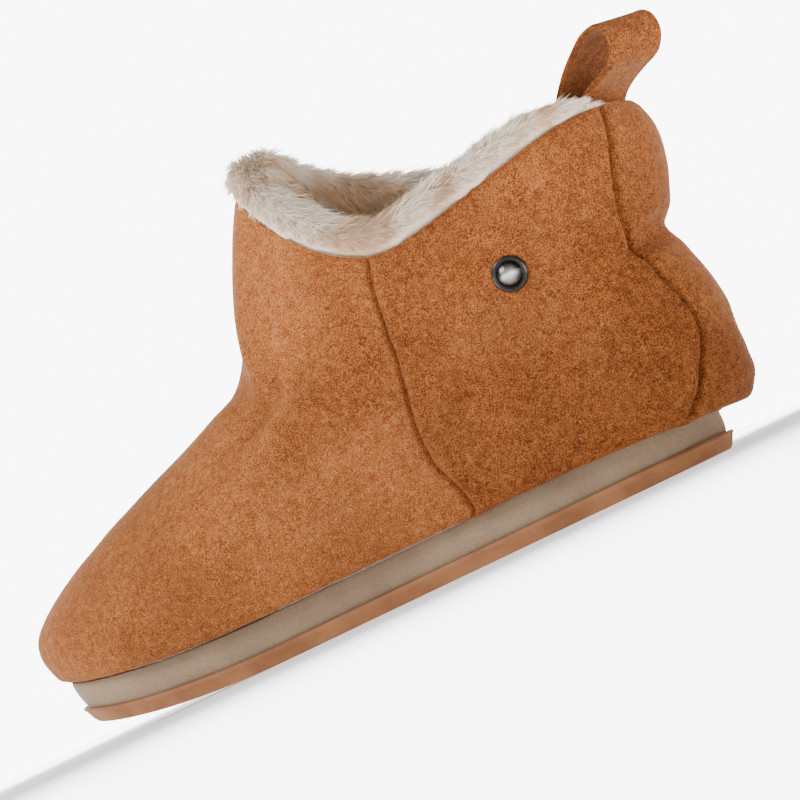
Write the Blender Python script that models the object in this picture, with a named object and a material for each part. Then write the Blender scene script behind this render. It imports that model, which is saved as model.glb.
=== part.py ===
"""Left bootie slipper: suede upper, microfibre band, ribbed rubber sole, fur collar, pull loop and rivet.

Metres, +Z up. The toe points along -X, the heel along +X, and the outer (lateral) side along -Y.
Shapes are worked out with x = 0 at the tip of the outsole's toe, and the whole shoe is moved at the
end so that the middle of its footprint is the origin.
"""

import bmesh
import bpy
import numpy as np

# Lengths and widths of the last
SOLE_LENGTH = 0.268
BALL_WIDTH = 0.097
WAIST_WIDTH = 0.070
HEEL_WIDTH = 0.066
TOE_SPRING = 0.011
SPRING_START = 0.37  # share of the length, from the toe, where the sole starts to rise
TOE_SHIFT = 0.0035  # how far the tip of the toe lies towards the inner side
TOE_ROUND = 0.056  # lengths over which the toe and the heel round off in plan
HEEL_ROUND = 0.038

# Sole layers
OUTSOLE_THICK = 0.006
MIDSOLE_THICK = 0.0105
INSOLE_THICK = 0.005
OUTSOLE_SLANT = 0.0028
OUTSOLE_LIP = 0.0016
TREAD_DEPTH = 0.0013
TREAD_MARGIN = 0.003
RIM_WIDTH = 0.0065
LUG_WIDTH = 0.0042
LUG_TURN = np.radians(28)
LUG_ROOT = 0.0018  # how deep a lug goes into the sole
LUG_BEND = 0.0021
CHEVRON_BEND = 0.005
LIP_SLOPE = 0.4  # shares of the lip: where its underside starts, in from the edge and down
LIP_EDGE = 0.8
BAND_ROUND = 0.0009
BAND_FULLNESS = 0.6  # power of the band's rounding: the smaller, the flatter its middle
INSOLE_EDGE = 0.7  # share of the insole's thickness where its edge turns in
FOOTBED_GAP = 0.0018
TOE_FLARE = 0.0025  # how far the band stands out at the toe, growing upwards
GAP = 0.0003

# Upper
WALL = 0.003
FRONT_HEIGHT = 0.160
SIDE_HEIGHT = 0.111
BACK_HEIGHT = 0.123
HEEL_OVERHANG = 0.016
BULGE = 0.0045
WIDEST_RISE = 0.013
MEDIAL_RISE = 0.008
MEDIAL_REACH = 0.18  # how much further round the inner side the front of the collar stays high
COLLAR_WIDTH = 0.078
RIDGE_SHIFT = 0.005
BACK_START = 0.55  # share of a ring where its height starts to turn into the back's, at the feather edge
BACK_CLIMB = 0.19  # how much earlier that is at the collar
BACK_REACH = 0.45
RIDGE_END = 0.45  # share of the length at which the ridge is back on the middle line
ARCH_POWER = 2.1
OVAL_START = np.radians(60)  # place round a ring where the arched section starts to turn into the oval
OVAL_REACH = np.radians(60)
SEAM_DEPTH = 0.0011
SEAM_WIDTH = 0.014  # share of a side's girth
SEAM_CLEAR = 1.4  # widths either side of a seam that hold no other column
SEAM_RUN_LOW = 0.06  # levels over which a seam runs out at the feather edge and at the collar
SEAM_RUN_TOP = 0.03

# Collar pile
PILE_TOP = 0.013
PILE_FRONT = 0.002  # how much higher the pile stands in front
PILE_THICK = 0.012
PILE_LIP = 0.002
PILE_LOCK = 0.0016
PILE_GAP = 0.0008
PILE_SPINE = 0.030  # how far from its two ends the collar narrows to a point
PILE_BACK = 0.10  # share of the pile's height that is left behind the heel
PILE_FADE = 0.64  # place round a side where the pile starts to get lower
PILE_RIM_RISE = 0.15
TUFT_ROUND = 2.4  # radians from one column to the next, and from one row to the next, of the locks' wave
TUFT_DOWN = 1.7
TUFT_DRIFT = 1.3
TUFT_DRIFT_ROUND = 0.9
PILE_LEVELS = [1.0, 0.94, 0.87, 0.80, 0.73]

# Pull loop
LOOP_WIDTH = 0.025
LOOP_THICK = 0.0022
LOOP_LEGS = 0.001  # room between the strap's two ends
LOOP_REACH = 0.034
LOOP_RISE = 0.0240
LOOP_ROOT = 0.011
LOOP_INSET = 0.0148
LOOP_TURN = np.radians(38)
LOOP_SLOT = 0.0005
LOOP_ROOM_FRONT = 0.0065  # how much the notch in the pile passes the strap's ends, in front and behind
LOOP_ROOM_BACK = 0.0150

# Rivet
RIVET_DIAMETER = 0.0125
RIVET_HEIGHT = 0.0034
RIVET_SIDE = 0.660  # place round the lateral side, front to back
RIVET_LEVEL = 0.714  # place up the wall, feather edge to collar

# Counts of facets, and the steps that slopes are read over
LOOP_STEPS = 40
RIVET_SIDES = 24
SIDE_COLUMNS = 30
UPPER_ROWS = 17
LINING_ROWS = 11
RIDGE_STEPS = 60
SLOPE_STEPS = 3
LEVEL_STEP = 0.002
PLACE_STEP = 0.01
LEAN_STEP = 0.03
SHARP_ANGLE = np.radians(40)

FEATHER = OUTSOLE_THICK + MIDSOLE_THICK + GAP
TOE_LEVEL = 0.14  # the ring that reaches furthest at the toe
VAMP_LINE = 0.5  # the two seams' places in u, round a side from front to back
BACK_LINE = 0.83

# The sole's plan: share of the length from the toe, the size that the half widths follow, and their
# shares of it.
OUTLINE = [
    # share, size, lateral, medial
    (0.00, BALL_WIDTH, 0.350, 0.370),
    (0.12, BALL_WIDTH, 0.400, 0.440),
    (0.25, BALL_WIDTH, 0.450, 0.545),
    (0.38, BALL_WIDTH, 0.425, 0.560),
    (0.55, WAIST_WIDTH, 0.485, 0.520),
    (0.73, HEEL_WIDTH, 0.530, 0.505),
    (0.87, HEEL_WIDTH, 0.515, 0.490),
    (1.00, HEEL_WIDTH, 0.500, 0.480),
]

# Rings of the upper, from the feather edge to the collar. level is the ring's place up the wall. front and
# back are where the ring crosses the middle line: along as a share of the sole's length or of the heel's
# overhang, up as a share of the height there. side is its height at the side, reach the share of the ring
# over which the front's height fades, arch how far its width follows the last's arched sections, swell its
# share of the bulge, girth its width behind, and vamp_seam and back_seam where the seams cross it.
RINGS = [
    # level, front_along, front_up, back_along, back_up, side_up, reach, arch, swell, girth, vamp, back
    (0.00, -0.002, 0.000, -0.14, 0.000, 0.00, 1.00, 0.00, -0.10, 0.90, 0.612, 0.835),
    (0.03, -0.014, 0.010, 0.52, -0.035, 0.012, 1.00, 0.00, 0.45, 0.91, 0.606, 0.838),
    (0.07, -0.022, 0.050, 0.92, 0.015, 0.05, 1.00, 0.00, 0.85, 0.92, 0.599, 0.846),
    (0.14, -0.026, 0.112, 1.07, 0.110, 0.12, 1.00, 0.00, 1.00, 0.93, 0.592, 0.865),
    (0.22, -0.012, 0.172, 1.08, 0.220, 0.20, 1.00, 0.15, 1.00, 0.93, 0.581, 0.891),
    (0.30, 0.038, 0.256, 1.03, 0.325, 0.28, 0.97, 0.50, 0.95, 0.92, 0.568, 0.891),
    (0.40, 0.152, 0.370, 0.93, 0.410, 0.37, 0.92, 0.85, 0.80, 0.91, 0.541, 0.877),
    (0.50, 0.258, 0.446, 0.82, 0.488, 0.46, 0.85, 1.00, 0.60, 0.90, 0.512, 0.864),
    (0.60, 0.380, 0.531, 0.80, 0.565, 0.56, 0.76, 1.00, 0.40, 0.91, 0.464, 0.840),
    (0.69, 0.452, 0.623, 1.00, 0.660, 0.66, 0.66, 1.00, 0.30, 0.94, 0.419, 0.816),
    (0.80, 0.479, 0.777, 1.28, 0.773, 0.78, 0.56, 1.00, 0.30, 0.98, 0.399, 0.808),
    (0.91, 0.510, 0.909, 1.40, 0.900, 0.90, 0.48, 1.00, 0.30, 1.01, 0.380, 0.824),
    (1.00, 0.539, 1.000, 1.25, 1.000, 1.00, 0.42, 1.00, 0.30, 1.00, 0.368, 0.849),
]
RING_COLUMNS = (
    "level front_along front_up back_along back_up side_up reach arch swell girth vamp_seam back_seam"
).split()


BAND_SHARES = [0.0, 0.12, 0.35, 0.65, 0.88, 1.0]  # heights of the band's rings as shares of its own

# Lugs: places as shares of the sole's length.
TOE_CHEVRONS = [0.075, 0.105, 0.135]
FORE_ROWS = [0.175, 0.210, 0.245, 0.280, 0.400, 0.435]
FORE_LANES = 4
HEEL_ROWS = [0.815, 0.850, 0.885, 0.920]
HEEL_LANES = [0.27, 0.73]
CHEVRON_SPAN = 0.8  # shares of the tread field, or of one lane of it, that a lug spans
FORE_SPAN = 0.76
HEEL_SPAN = 0.36
PLATES = [
    # along, across, length, width
    (0.340, 0.045, 0.070, 0.400),
    (0.610, 0.010, 0.270, 0.270),
]

# The collar's pile in section, from its foot inside the wall, over the rim and down the inside. level is the
# place up the wall, out the place across (0 the wall's inner face, 1 the lip, -1 the full thickness inwards),
# rise the share of the pile's height and lock the share of the locks' reach.
PILE_PROFILE = [
    # level, out, rise, lock
    (0.73, 0.00, 0.00, 0.0),
    (0.80, 0.00, 0.00, 0.0),
    (0.87, 0.00, 0.00, 0.0),
    (0.94, 0.00, 0.00, 0.0),
    (1.00, 0.00, 0.00, 0.0),
    (1.00, 0.06, 0.07, 0.0),
    (1.00, 0.60, 0.10, 0.0),
    (1.00, 1.00, 0.20, 0.5),
    (1.00, 1.05, 0.60, 1.0),
    (1.00, 0.60, 0.92, 1.0),
    (1.00, -0.25, 1.05, 1.0),
    (1.00, -0.80, 0.90, 1.0),
    (1.00, -1.10, 0.45, 0.8),
    (1.00, -1.20, 0.00, 0.6),
    (0.92, -1.20, 0.00, 0.5),
    (0.84, -1.05, 0.00, 0.3),
    (0.77, -0.75, 0.00, 0.0),
]

# The strap's middle line: back as a share of its reach, up as a share of its rise or, below 0, of its root,
# and leg, which of its two ends it belongs to.
LOOP_PATH = [
    # back, up, leg
    (0.00, -1.00, -1),
    (0.00, 0.00, -1),
    (-0.06, 0.25, -1),
    (0.08, 0.56, 0),
    (0.44, 0.88, 0),
    (0.74, 1.00, 0),
    (0.94, 0.94, 0),
    (1.00, 0.70, 0),
    (0.89, 0.47, 0),
    (0.63, 0.35, 0),
    (0.37, 0.25, 0),
    (0.15, 0.12, 0.3),
    (0.00, -0.08, 1),
    (0.00, -1.00, 1),
]

# The rivet in section: radius and height as shares of its own.
RIVET_PROFILE = [
    # radius, height
    (1.00, 0.00),
    (1.00, 0.16),
    (0.93, 0.30),
    (0.82, 0.36),
    (0.74, 0.30),
    (0.66, 0.52),
    (0.48, 0.80),
    (0.26, 0.96),
    (0.08, 1.00),
]


def curve(at, places, values):
    """A smooth curve through the given values: cubic pieces whose slopes are those of their neighbours.

    Values with more than one axis give each place in at a curve of its own.
    """
    places = np.asarray(places, float)
    values = np.asarray(values, float)
    slopes = np.gradient(values, places, axis=0)
    at = np.clip(at, places[0], places[-1])
    left = np.clip(np.searchsorted(places, at, side="right") - 1, 0, len(places) - 2)
    span = places[left + 1] - places[left]
    s = (at - places[left]) / span
    own = tuple(np.indices(left.shape)) if values.ndim > 1 else ()
    start, end = (left, *own), (left + 1, *own)
    return (
        values[start] * (1 + 2 * s) * (1 - s) ** 2
        + slopes[start] * span * s * (1 - s) ** 2
        + values[end] * s**2 * (3 - 2 * s)
        + slopes[end] * span * s**2 * (s - 1)
    )


def ease(s):
    """Rises from 0 to 1 with level ends."""
    s = np.clip(s, 0, 1)
    return s * s * (3 - 2 * s)


def ring_column(name, level):
    """One column of the table of rings, read at any level up the wall."""
    index = RING_COLUMNS.index(name)
    return curve(level, [row[0] for row in RINGS], [row[index] for row in RINGS])


def toe_lift(x):
    """Height of the sole's underside above the floor at x: level to the ball, then rising to the toe."""
    s = np.clip((SPRING_START - x / SOLE_LENGTH) / SPRING_START, 0, 1)
    return TOE_SPRING * s**2


def half_widths(share):
    """Lateral and medial half width of the sole at a share of its length, before its ends are rounded."""
    places = [row[0] for row in OUTLINE]
    lateral = curve(share, places, [row[1] * row[2] for row in OUTLINE])
    medial = curve(share, places, [row[1] * row[3] for row in OUTLINE])
    return lateral, medial


def middle_line(share):
    """How far the sole's middle line swings inwards at a share of its length."""
    return TOE_SHIFT * np.clip(1 - 2 * share, 0, 1) ** 1.5


def closing(x, front, back):
    """Rounds the two ends of a plan that runs from front to back: a quarter of an oval at each."""
    toe = np.clip((x - front) / TOE_ROUND, 0, 1)
    heel = np.clip((back - x) / HEEL_ROUND, 0, 1)
    return np.sqrt(toe * (2 - toe) * heel * (2 - heel))


def sole_ring(inset, lift, columns=SIDE_COLUMNS):
    """The sole's plan as a closed ring, drawn in by inset, at lift above the sole's underside."""
    angle = np.linspace(0, np.pi, columns + 1)
    share = (1 - np.cos(angle)) / 2
    lateral, medial = half_widths(share)
    middle = middle_line(share)
    x = share * SOLE_LENGTH
    rounding = closing(x, 0, SOLE_LENGTH)
    near = np.stack([x, middle - lateral * rounding], 1)
    far = np.stack([x, middle + medial * rounding], 1)
    plan = np.concatenate([near, far[-2:0:-1]])
    along = np.roll(plan, -1, 0) - np.roll(plan, 1, 0)
    outward = np.stack([along[:, 1], -along[:, 0]], 1)
    outward /= np.linalg.norm(outward, axis=1)[:, None]
    plan = plan - inset * outward
    return np.column_stack([plan, toe_lift(plan[:, 0]) + lift])


def lifted(x, up):
    """Height above the floor of a place that is up above the feather edge; the toe's rise fades upwards."""
    share_up = np.clip(up / (FRONT_HEIGHT - FEATHER), 0, 1)
    return FEATHER + up + toe_lift(x) * (1 - share_up) ** 2


def ridge_height(x):
    """Height of the upper's top line at x, carried on upwards past the collar's front."""
    levels = np.linspace(TOE_LEVEL, 1, RIDGE_STEPS)
    places = SOLE_LENGTH * ring_column("front_along", levels)
    heights = lifted(places, (FRONT_HEIGHT - FEATHER) * ring_column("front_up", levels))
    last, before = -1, -1 - SLOPE_STEPS
    slope = (heights[last] - heights[before]) / (places[last] - places[before])
    return np.interp(x, places, heights) + slope * np.clip(x - places[-1], 0, None)


def body_half_widths(x):
    """Lateral and medial half width of the upper at its widest line."""
    front = SOLE_LENGTH * min(row[1] for row in RINGS)
    back = SOLE_LENGTH + HEEL_OVERHANG
    share = np.clip((x - front) / (back - front), 0, 1)
    lateral, medial = half_widths(share)
    rounding = closing(x, front, back)
    return (lateral + BULGE) * rounding, (medial + BULGE) * rounding


def side_share(u, level):
    """Place round one side, front 0 to back 1, warped so that both seams lie on lines of constant u."""
    seams = ring_column("vamp_seam", level), ring_column("back_seam", level)
    values = np.stack(np.broadcast_arrays(0 * u, *seams, 0 * u + 1))
    return curve(np.broadcast_to(u, values.shape[1:]), [0, VAMP_LINE, BACK_LINE, 1], values)


def shell(u, level, side):
    """The upper's outer face. u runs from front 0 to back 1 on one side, side is -1 lateral or 1 medial.

    Each ring lies between a front and a back point of the middle line. Its height fades from the front's to
    the side's and rises again to the back's. Low rings take the sole's plan with a bulge, the others the
    arched sections of the last in front and an oval behind.
    """
    angle = np.pi * side_share(u, level)
    share = (1 - np.cos(angle)) / 2
    front = SOLE_LENGTH * ring_column("front_along", level)
    back = SOLE_LENGTH + HEEL_OVERHANG * ring_column("back_along", level)
    x = front + (back - front) * share
    rise_front = (FRONT_HEIGHT - FEATHER) * ring_column("front_up", level)
    rise_back = (BACK_HEIGHT - FEATHER) * ring_column("back_up", level)
    rise_side = (SIDE_HEIGHT - FEATHER) * ring_column("side_up", level)
    rise_side = rise_side + MEDIAL_RISE * ease(level) * (side > 0)
    reach = ring_column("reach", level) + MEDIAL_REACH * ease(level) * (side > 0)
    from_front = 1 - ease(angle / (np.pi * reach))
    back_start = BACK_START - BACK_CLIMB * ease(level)
    from_back = ease((angle / np.pi - back_start) / BACK_REACH)
    up = rise_side + (rise_front - rise_side) * from_front + (rise_back - rise_side) * from_back
    z = lifted(x, up)
    lateral, medial = half_widths(share)
    rounding = closing(x, front, back)
    swell = BULGE * ring_column("swell", level)
    low = (np.where(side < 0, lateral, medial) + swell) * rounding
    body_lateral, body_medial = body_half_widths(x)
    body = np.where(side < 0, body_lateral, body_medial)
    widest = FEATHER + WIDEST_RISE + toe_lift(x)
    q = np.clip((z - widest) / (ridge_height(x) - widest), 0, 1)
    arched = body * (1 - q**ARCH_POWER) ** (1 / ARCH_POWER)
    oval = COLLAR_WIDTH / 2 * ring_column("girth", level) * rounding
    high = arched + (oval - arched) * ease((angle - OVAL_START) / OVAL_REACH)
    arch = ring_column("arch", level)
    half = low + (high - low) * arch
    ridge = RIDGE_SHIFT * np.clip(1 - x / (SOLE_LENGTH * RIDGE_END), 0, 1) ** 1.5
    return np.stack([x, side * half + ridge * (1 - share) ** 2, z], -1)


def side_places():
    """Places round a side, front to back, with extra ones where the two seams are pressed in."""
    even = np.linspace(0, 1, SIDE_COLUMNS + 1)
    seams = np.array([VAMP_LINE, BACK_LINE])
    clear = (np.abs(even[:, None] - seams) > SEAM_CLEAR * SEAM_WIDTH).all(1)
    pressed = (seams[:, None] + SEAM_WIDTH * np.array([-1, 0, 1])).ravel()
    return np.sort(np.concatenate([even[clear], pressed]))


def shell_rings(levels):
    """The outer face and its outward normals on closed rings, lateral side first, front to back and round."""
    places = side_places()
    u = np.concatenate([places, places[-2:0:-1]])
    side = np.where(np.arange(len(u)) < len(places), -1.0, 1.0)
    u, level = np.meshgrid(u, levels)
    points = shell(u, level, side[None, :] + 0 * u)
    low = shell(u, np.clip(level - LEVEL_STEP, 0, 1), side[None, :] + 0 * u)
    high = shell(u, np.clip(level + LEVEL_STEP, 0, 1), side[None, :] + 0 * u)
    round_ring = np.roll(points, -1, 1) - np.roll(points, 1, 1)
    normals = np.cross(round_ring, high - low)
    normals /= np.linalg.norm(normals, axis=2)[:, :, None]
    return points, normals, u, level


def seam_groove(u, level):
    """How far the two seams press the wall in: a narrow dip on each, running out at the edges."""
    near = np.minimum(np.abs(u - VAMP_LINE), np.abs(u - BACK_LINE))
    running = ease(level / SEAM_RUN_LOW) * ease((1 - level) / SEAM_RUN_TOP)
    return SEAM_DEPTH * np.clip(1 - near / SEAM_WIDTH, 0, 1) * running


def grid_faces(rows, columns, wrap_rows=False):
    """Four-sided faces between rings of points, each ring closed, the stack of rings closed if asked."""
    row = np.arange(rows if wrap_rows else rows - 1)
    column = np.arange(columns)
    row, column = (part.ravel() for part in np.meshgrid(row, column, indexing="ij"))
    above = (row + 1) % rows
    beside = (column + 1) % columns
    corners = [(row, column), (row, beside), (above, beside), (above, column)]
    return np.stack([at_row * columns + at_column for at_row, at_column in corners], 1)


def cap_faces(first, columns):
    """Closes a ring whose two sides mirror each other: strips across from one side to the other."""
    half = columns // 2
    strip = np.arange(1, half)
    near = first + strip
    far = first + columns - strip
    quads = [(near[i], near[i + 1], far[i + 1], far[i]) for i in range(half - 2)]
    return [(first, near[0], far[0])] + quads + [(near[-1], first + half, far[-1])]


def add_mesh(name, points, faces, material):
    """A mesh object from points and faces, all facing outwards and shaded smooth between sharp edges."""
    mesh = bpy.data.meshes.new(name)
    faces = [tuple(int(i) for i in face) for face in faces]
    mesh.from_pydata([tuple(point) for point in points], [], faces)
    obj = bpy.data.objects.new(name, mesh)
    bpy.context.scene.collection.objects.link(obj)
    work = bmesh.new()
    work.from_mesh(mesh)
    bmesh.ops.recalc_face_normals(work, faces=work.faces)
    work.to_mesh(mesh)
    work.free()
    mesh.shade_smooth()
    mesh.set_sharp_from_angle(angle=SHARP_ANGLE)
    if material:
        mesh.materials.append(material)
    return obj


def add_finish(name, colour, roughness, metallic=0.0):
    """A plain material with a linear colour."""
    material = bpy.data.materials.new(name)
    material.use_nodes = True
    shader = material.node_tree.nodes["Principled BSDF"]
    shader.inputs["Base Color"].default_value = (*colour, 1)
    shader.inputs["Roughness"].default_value = roughness
    shader.inputs["Metallic"].default_value = metallic
    return material


def boolean(obj, cutter, operation):
    """Joins or cuts with a helper that isn't a piece of the shoe."""
    cutter.hide_render = True
    cutter.display_type = "WIRE"
    modifier = obj.modifiers.new(cutter.name, "BOOLEAN")
    modifier.operation = operation
    modifier.solver = "EXACT"
    modifier.use_self = True
    modifier.object = cutter


def prism(plan, low, high):
    """Points and faces of a block with the given plan, its underside following the sole's rise."""
    plan = np.asarray(plan)
    count = len(plan)
    rise = toe_lift(plan[:, 0])
    points = np.concatenate([np.column_stack([plan, rise + height]) for height in (low, high)])
    faces = [tuple(range(count)), tuple(range(count, 2 * count))]
    faces += [(i, (i + 1) % count, (i + 1) % count + count, i + count) for i in range(count)]
    return points, faces


def joined(blocks):
    """Many sets of points and faces as one."""
    points, faces, start = [], [], 0
    for block_points, block_faces in blocks:
        points.append(block_points)
        faces += [tuple(i + start for i in face) for face in block_faces]
        start += len(block_points)
    return np.concatenate(points), faces


def bar(along, across, length, width, turn=0.0, bend=0.0):
    """Plan of one lug: a bar with its middle at (along, across) and an optional bend at its middle."""
    half = np.array([-0.5, 0.0, 0.5]) * length
    middle = np.stack([bend * (1 - np.abs(half) * 2 / length), half], 1)
    edge = np.concatenate([middle + [width / 2, 0], middle[::-1] - [width / 2, 0]])
    c, s = np.cos(turn), np.sin(turn)
    return edge @ np.array([[c, s], [-s, c]]) + [along, across]


def oval(along, across, length, width, turn=0.0, sides=20):
    """Plan of an oval plate of the sole."""
    angle = np.linspace(0, 2 * np.pi, sides, endpoint=False)
    edge = np.stack([np.cos(angle) * length / 2, np.sin(angle) * width / 2], 1)
    c, s = np.cos(turn), np.sin(turn)
    return edge @ np.array([[c, s], [-s, c]]) + [along, across]


def field(share, inset):
    """Lateral and medial limit of the tread field at a share of the length."""
    lateral, medial = half_widths(share)
    middle = middle_line(share)
    rounding = closing(share * SOLE_LENGTH, 0, SOLE_LENGTH)
    return middle - lateral * rounding + inset, middle + medial * rounding - inset


def tread_plans():
    """The plans of all lugs: toe chevrons, bent forefoot bars, two bare oval plates and the heel's pairs."""
    inset = OUTSOLE_SLANT + RIM_WIDTH + TREAD_MARGIN
    plans = []
    for row in TOE_CHEVRONS:
        low, high = field(row, inset)
        span = (high - low) * CHEVRON_SPAN
        plans.append(bar(row * SOLE_LENGTH, (low + high) / 2, span, LUG_WIDTH, bend=-CHEVRON_BEND))
    for row in FORE_ROWS:
        low, high = field(row, inset)
        for lane in range(FORE_LANES):
            across = low + (high - low) * (lane + 0.5) / FORE_LANES
            span = (high - low) / FORE_LANES * FORE_SPAN
            plans.append(bar(row * SOLE_LENGTH, across, span, LUG_WIDTH, turn=LUG_TURN, bend=LUG_BEND))
    for along, across, length, width in PLATES:
        size = length * SOLE_LENGTH, width * BALL_WIDTH
        plans.append(oval(along * SOLE_LENGTH, across * BALL_WIDTH, *size))
    for row in HEEL_ROWS:
        low, high = field(row, inset)
        for lane in HEEL_LANES:
            across = low + (high - low) * lane
            plans.append(bar(row * SOLE_LENGTH, across, (high - low) * HEEL_SPAN, LUG_WIDTH))
    return plans


def build_outsole(material):
    """Ribbed rubber sole: a lip on top, a slanting side, a rim, and a sunk field with its lugs."""
    recess = OUTSOLE_SLANT + RIM_WIDTH
    rings = [
        sole_ring(recess + TREAD_DEPTH, TREAD_DEPTH),
        sole_ring(recess, 0),
        sole_ring(OUTSOLE_SLANT, 0),
        sole_ring(OUTSOLE_LIP * LIP_SLOPE, OUTSOLE_THICK - OUTSOLE_LIP),
        sole_ring(0, OUTSOLE_THICK - OUTSOLE_LIP * LIP_EDGE),
        sole_ring(0, OUTSOLE_THICK),
    ]
    columns = len(rings[0])
    faces = [tuple(face) for face in grid_faces(len(rings), columns)]
    faces += cap_faces(0, columns) + cap_faces((len(rings) - 1) * columns, columns)
    sole = add_mesh("outsole", np.concatenate(rings), faces, material)
    blocks = [prism(plan, 0, TREAD_DEPTH + LUG_ROOT) for plan in tread_plans()]
    lugs = add_mesh("lugs", *joined(blocks), None)
    boolean(sole, lugs, "UNION")
    return [sole, lugs]


def build_midsole(material):
    """The band: a slightly rounded side between the outsole's lip and the upper."""
    base = OUTSOLE_THICK + GAP
    rings = []
    for share in BAND_SHARES:
        inset = OUTSOLE_LIP + BAND_ROUND * (1 - np.sin(np.pi * share) ** BAND_FULLNESS)
        ring = sole_ring(inset, base + share * (MIDSOLE_THICK - GAP))
        ring[:, 0] -= TOE_FLARE * share * ease(1 - ring[:, 0] / (SOLE_LENGTH * SPRING_START))
        rings.append(ring)
    columns = len(rings[0])
    faces = [tuple(face) for face in grid_faces(len(rings), columns)]
    faces += cap_faces(0, columns) + cap_faces((len(rings) - 1) * columns, columns)
    return add_mesh("midsole", np.concatenate(rings), faces, material)


def build_insole(material):
    """The sock inside, resting on the band and clear of the upper's wall."""
    inset = WALL + FOOTBED_GAP
    rings = [
        sole_ring(inset, FEATHER),
        sole_ring(inset, FEATHER + INSOLE_THICK * INSOLE_EDGE),
        sole_ring(inset + INSOLE_THICK * (1 - INSOLE_EDGE), FEATHER + INSOLE_THICK),
    ]
    columns = len(rings[0])
    faces = [tuple(face) for face in grid_faces(len(rings), columns)]
    faces += cap_faces(0, columns) + cap_faces((len(rings) - 1) * columns, columns)
    return add_mesh("insole", np.concatenate(rings), faces, material)


def build_upper(material):
    """The suede wall: the outer face with its seams, an inner face one wall inside, and two rims."""
    low_levels = [row[0] for row in RINGS[:2]]
    outer_levels = np.concatenate([low_levels, np.linspace(RINGS[2][0], 1, UPPER_ROWS - 2)])
    points, normals, u, level = shell_rings(outer_levels)
    outer = points - seam_groove(u, level)[:, :, None] * normals
    lining_levels = np.concatenate([PILE_LEVELS, np.linspace(PILE_LEVELS[-1], 0, LINING_ROWS)[1:]])
    points, normals, u, level = shell_rings(lining_levels)
    inner = points - WALL * normals
    rings = np.concatenate([outer, inner])
    faces = grid_faces(len(rings), rings.shape[1], wrap_rows=True)
    return add_mesh("upper", rings.reshape(-1, 3), faces, material)


def build_fur_collar(material):
    """The pile: a roll that lines the collar's inside and stands over its edge, with locks drawn out."""
    levels, out, rise, lock = (np.array(column)[:, None] for column in zip(*PILE_PROFILE))
    points, normals, u, level = shell_rings(levels.ravel())
    upward = points - shell_rings(levels.ravel() - LEAN_STEP)[0]
    upward /= np.linalg.norm(upward, axis=2)[:, :, None]
    x = points[:, :, 0]
    spine = np.clip(x, x.min(1, keepdims=True) + PILE_SPINE, x.max(1, keepdims=True) - PILE_SPINE)
    inward = np.stack([spine - x, -points[:, :, 1], 0 * spine], -1)
    inward /= np.linalg.norm(inward, axis=2)[:, :, None]
    full = 1 - (1 - PILE_BACK) * ease((u - PILE_FADE) / (1 - PILE_FADE))
    over_rim = (PILE_LIP + WALL + PILE_GAP) * full
    out_by = np.clip(out, 0, None) * over_rim - WALL - PILE_GAP
    deep = np.clip(-out, 0, None) * PILE_THICK
    height = (PILE_TOP + PILE_FRONT * ease(1 - u / VAMP_LINE)) * full
    rise_by = np.minimum(rise, PILE_RIM_RISE) * PILE_TOP
    rise_by = rise_by + np.clip(rise - PILE_RIM_RISE, 0, None) * height
    column = np.arange(points.shape[1])[None, :]
    row = np.arange(len(levels))[:, None]
    drift = TUFT_DRIFT * np.sin(column * TUFT_DRIFT_ROUND)
    tuft = np.sin(column * TUFT_ROUND + row * TUFT_DOWN + drift)
    reach = PILE_LOCK * lock * tuft * full
    points = points + out_by[:, :, None] * normals
    points = points + (deep + reach * (out < 0))[:, :, None] * inward
    points = points + (rise_by + reach * (rise > PILE_RIM_RISE))[:, :, None] * upward
    faces = grid_faces(len(levels), points.shape[1], wrap_rows=True)
    collar = add_mesh("fur_collar", points.reshape(-1, 3), faces, material)
    low = -LOOP_ROOT - LOOP_SLOT
    slot_plan = np.array([(-0.5, -0.5), (0.5, -0.5), (0.5, 0.5), (-0.5, 0.5)])
    room = LOOP_ROOM_FRONT + LOOP_ROOM_BACK
    slot_plan *= [2 * LOOP_THICK + LOOP_LEGS + 2 * LOOP_SLOT + room, LOOP_WIDTH + 2 * LOOP_SLOT]
    slot_plan += [(LOOP_ROOM_BACK - LOOP_ROOM_FRONT) / 2, 0]
    block = [loop_place(slot_plan[:, 0], slot_plan[:, 1], height) for height in (low, PILE_TOP)]
    faces = [(0, 1, 2, 3), (4, 5, 6, 7)]
    faces += [(i, (i + 1) % 4, (i + 1) % 4 + 4, i + 4) for i in range(4)]
    slot = add_mesh("loop_slot", np.concatenate(block), faces, None)
    boolean(collar, slot, "DIFFERENCE")
    return [collar, slot]


def loop_place(back, across, up):
    """A point of the pull loop: back and across turn with the strap, up is above the collar's back edge."""
    top = shell(np.array(1.0), np.array(1.0), np.array(-1.0))
    c, s = np.cos(LOOP_TURN), np.sin(LOOP_TURN)
    x = top[0] - LOOP_INSET + back * c + across * s
    y = across * c - back * s
    return np.stack([x, y, top[2] + up + 0 * x], -1)


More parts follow.
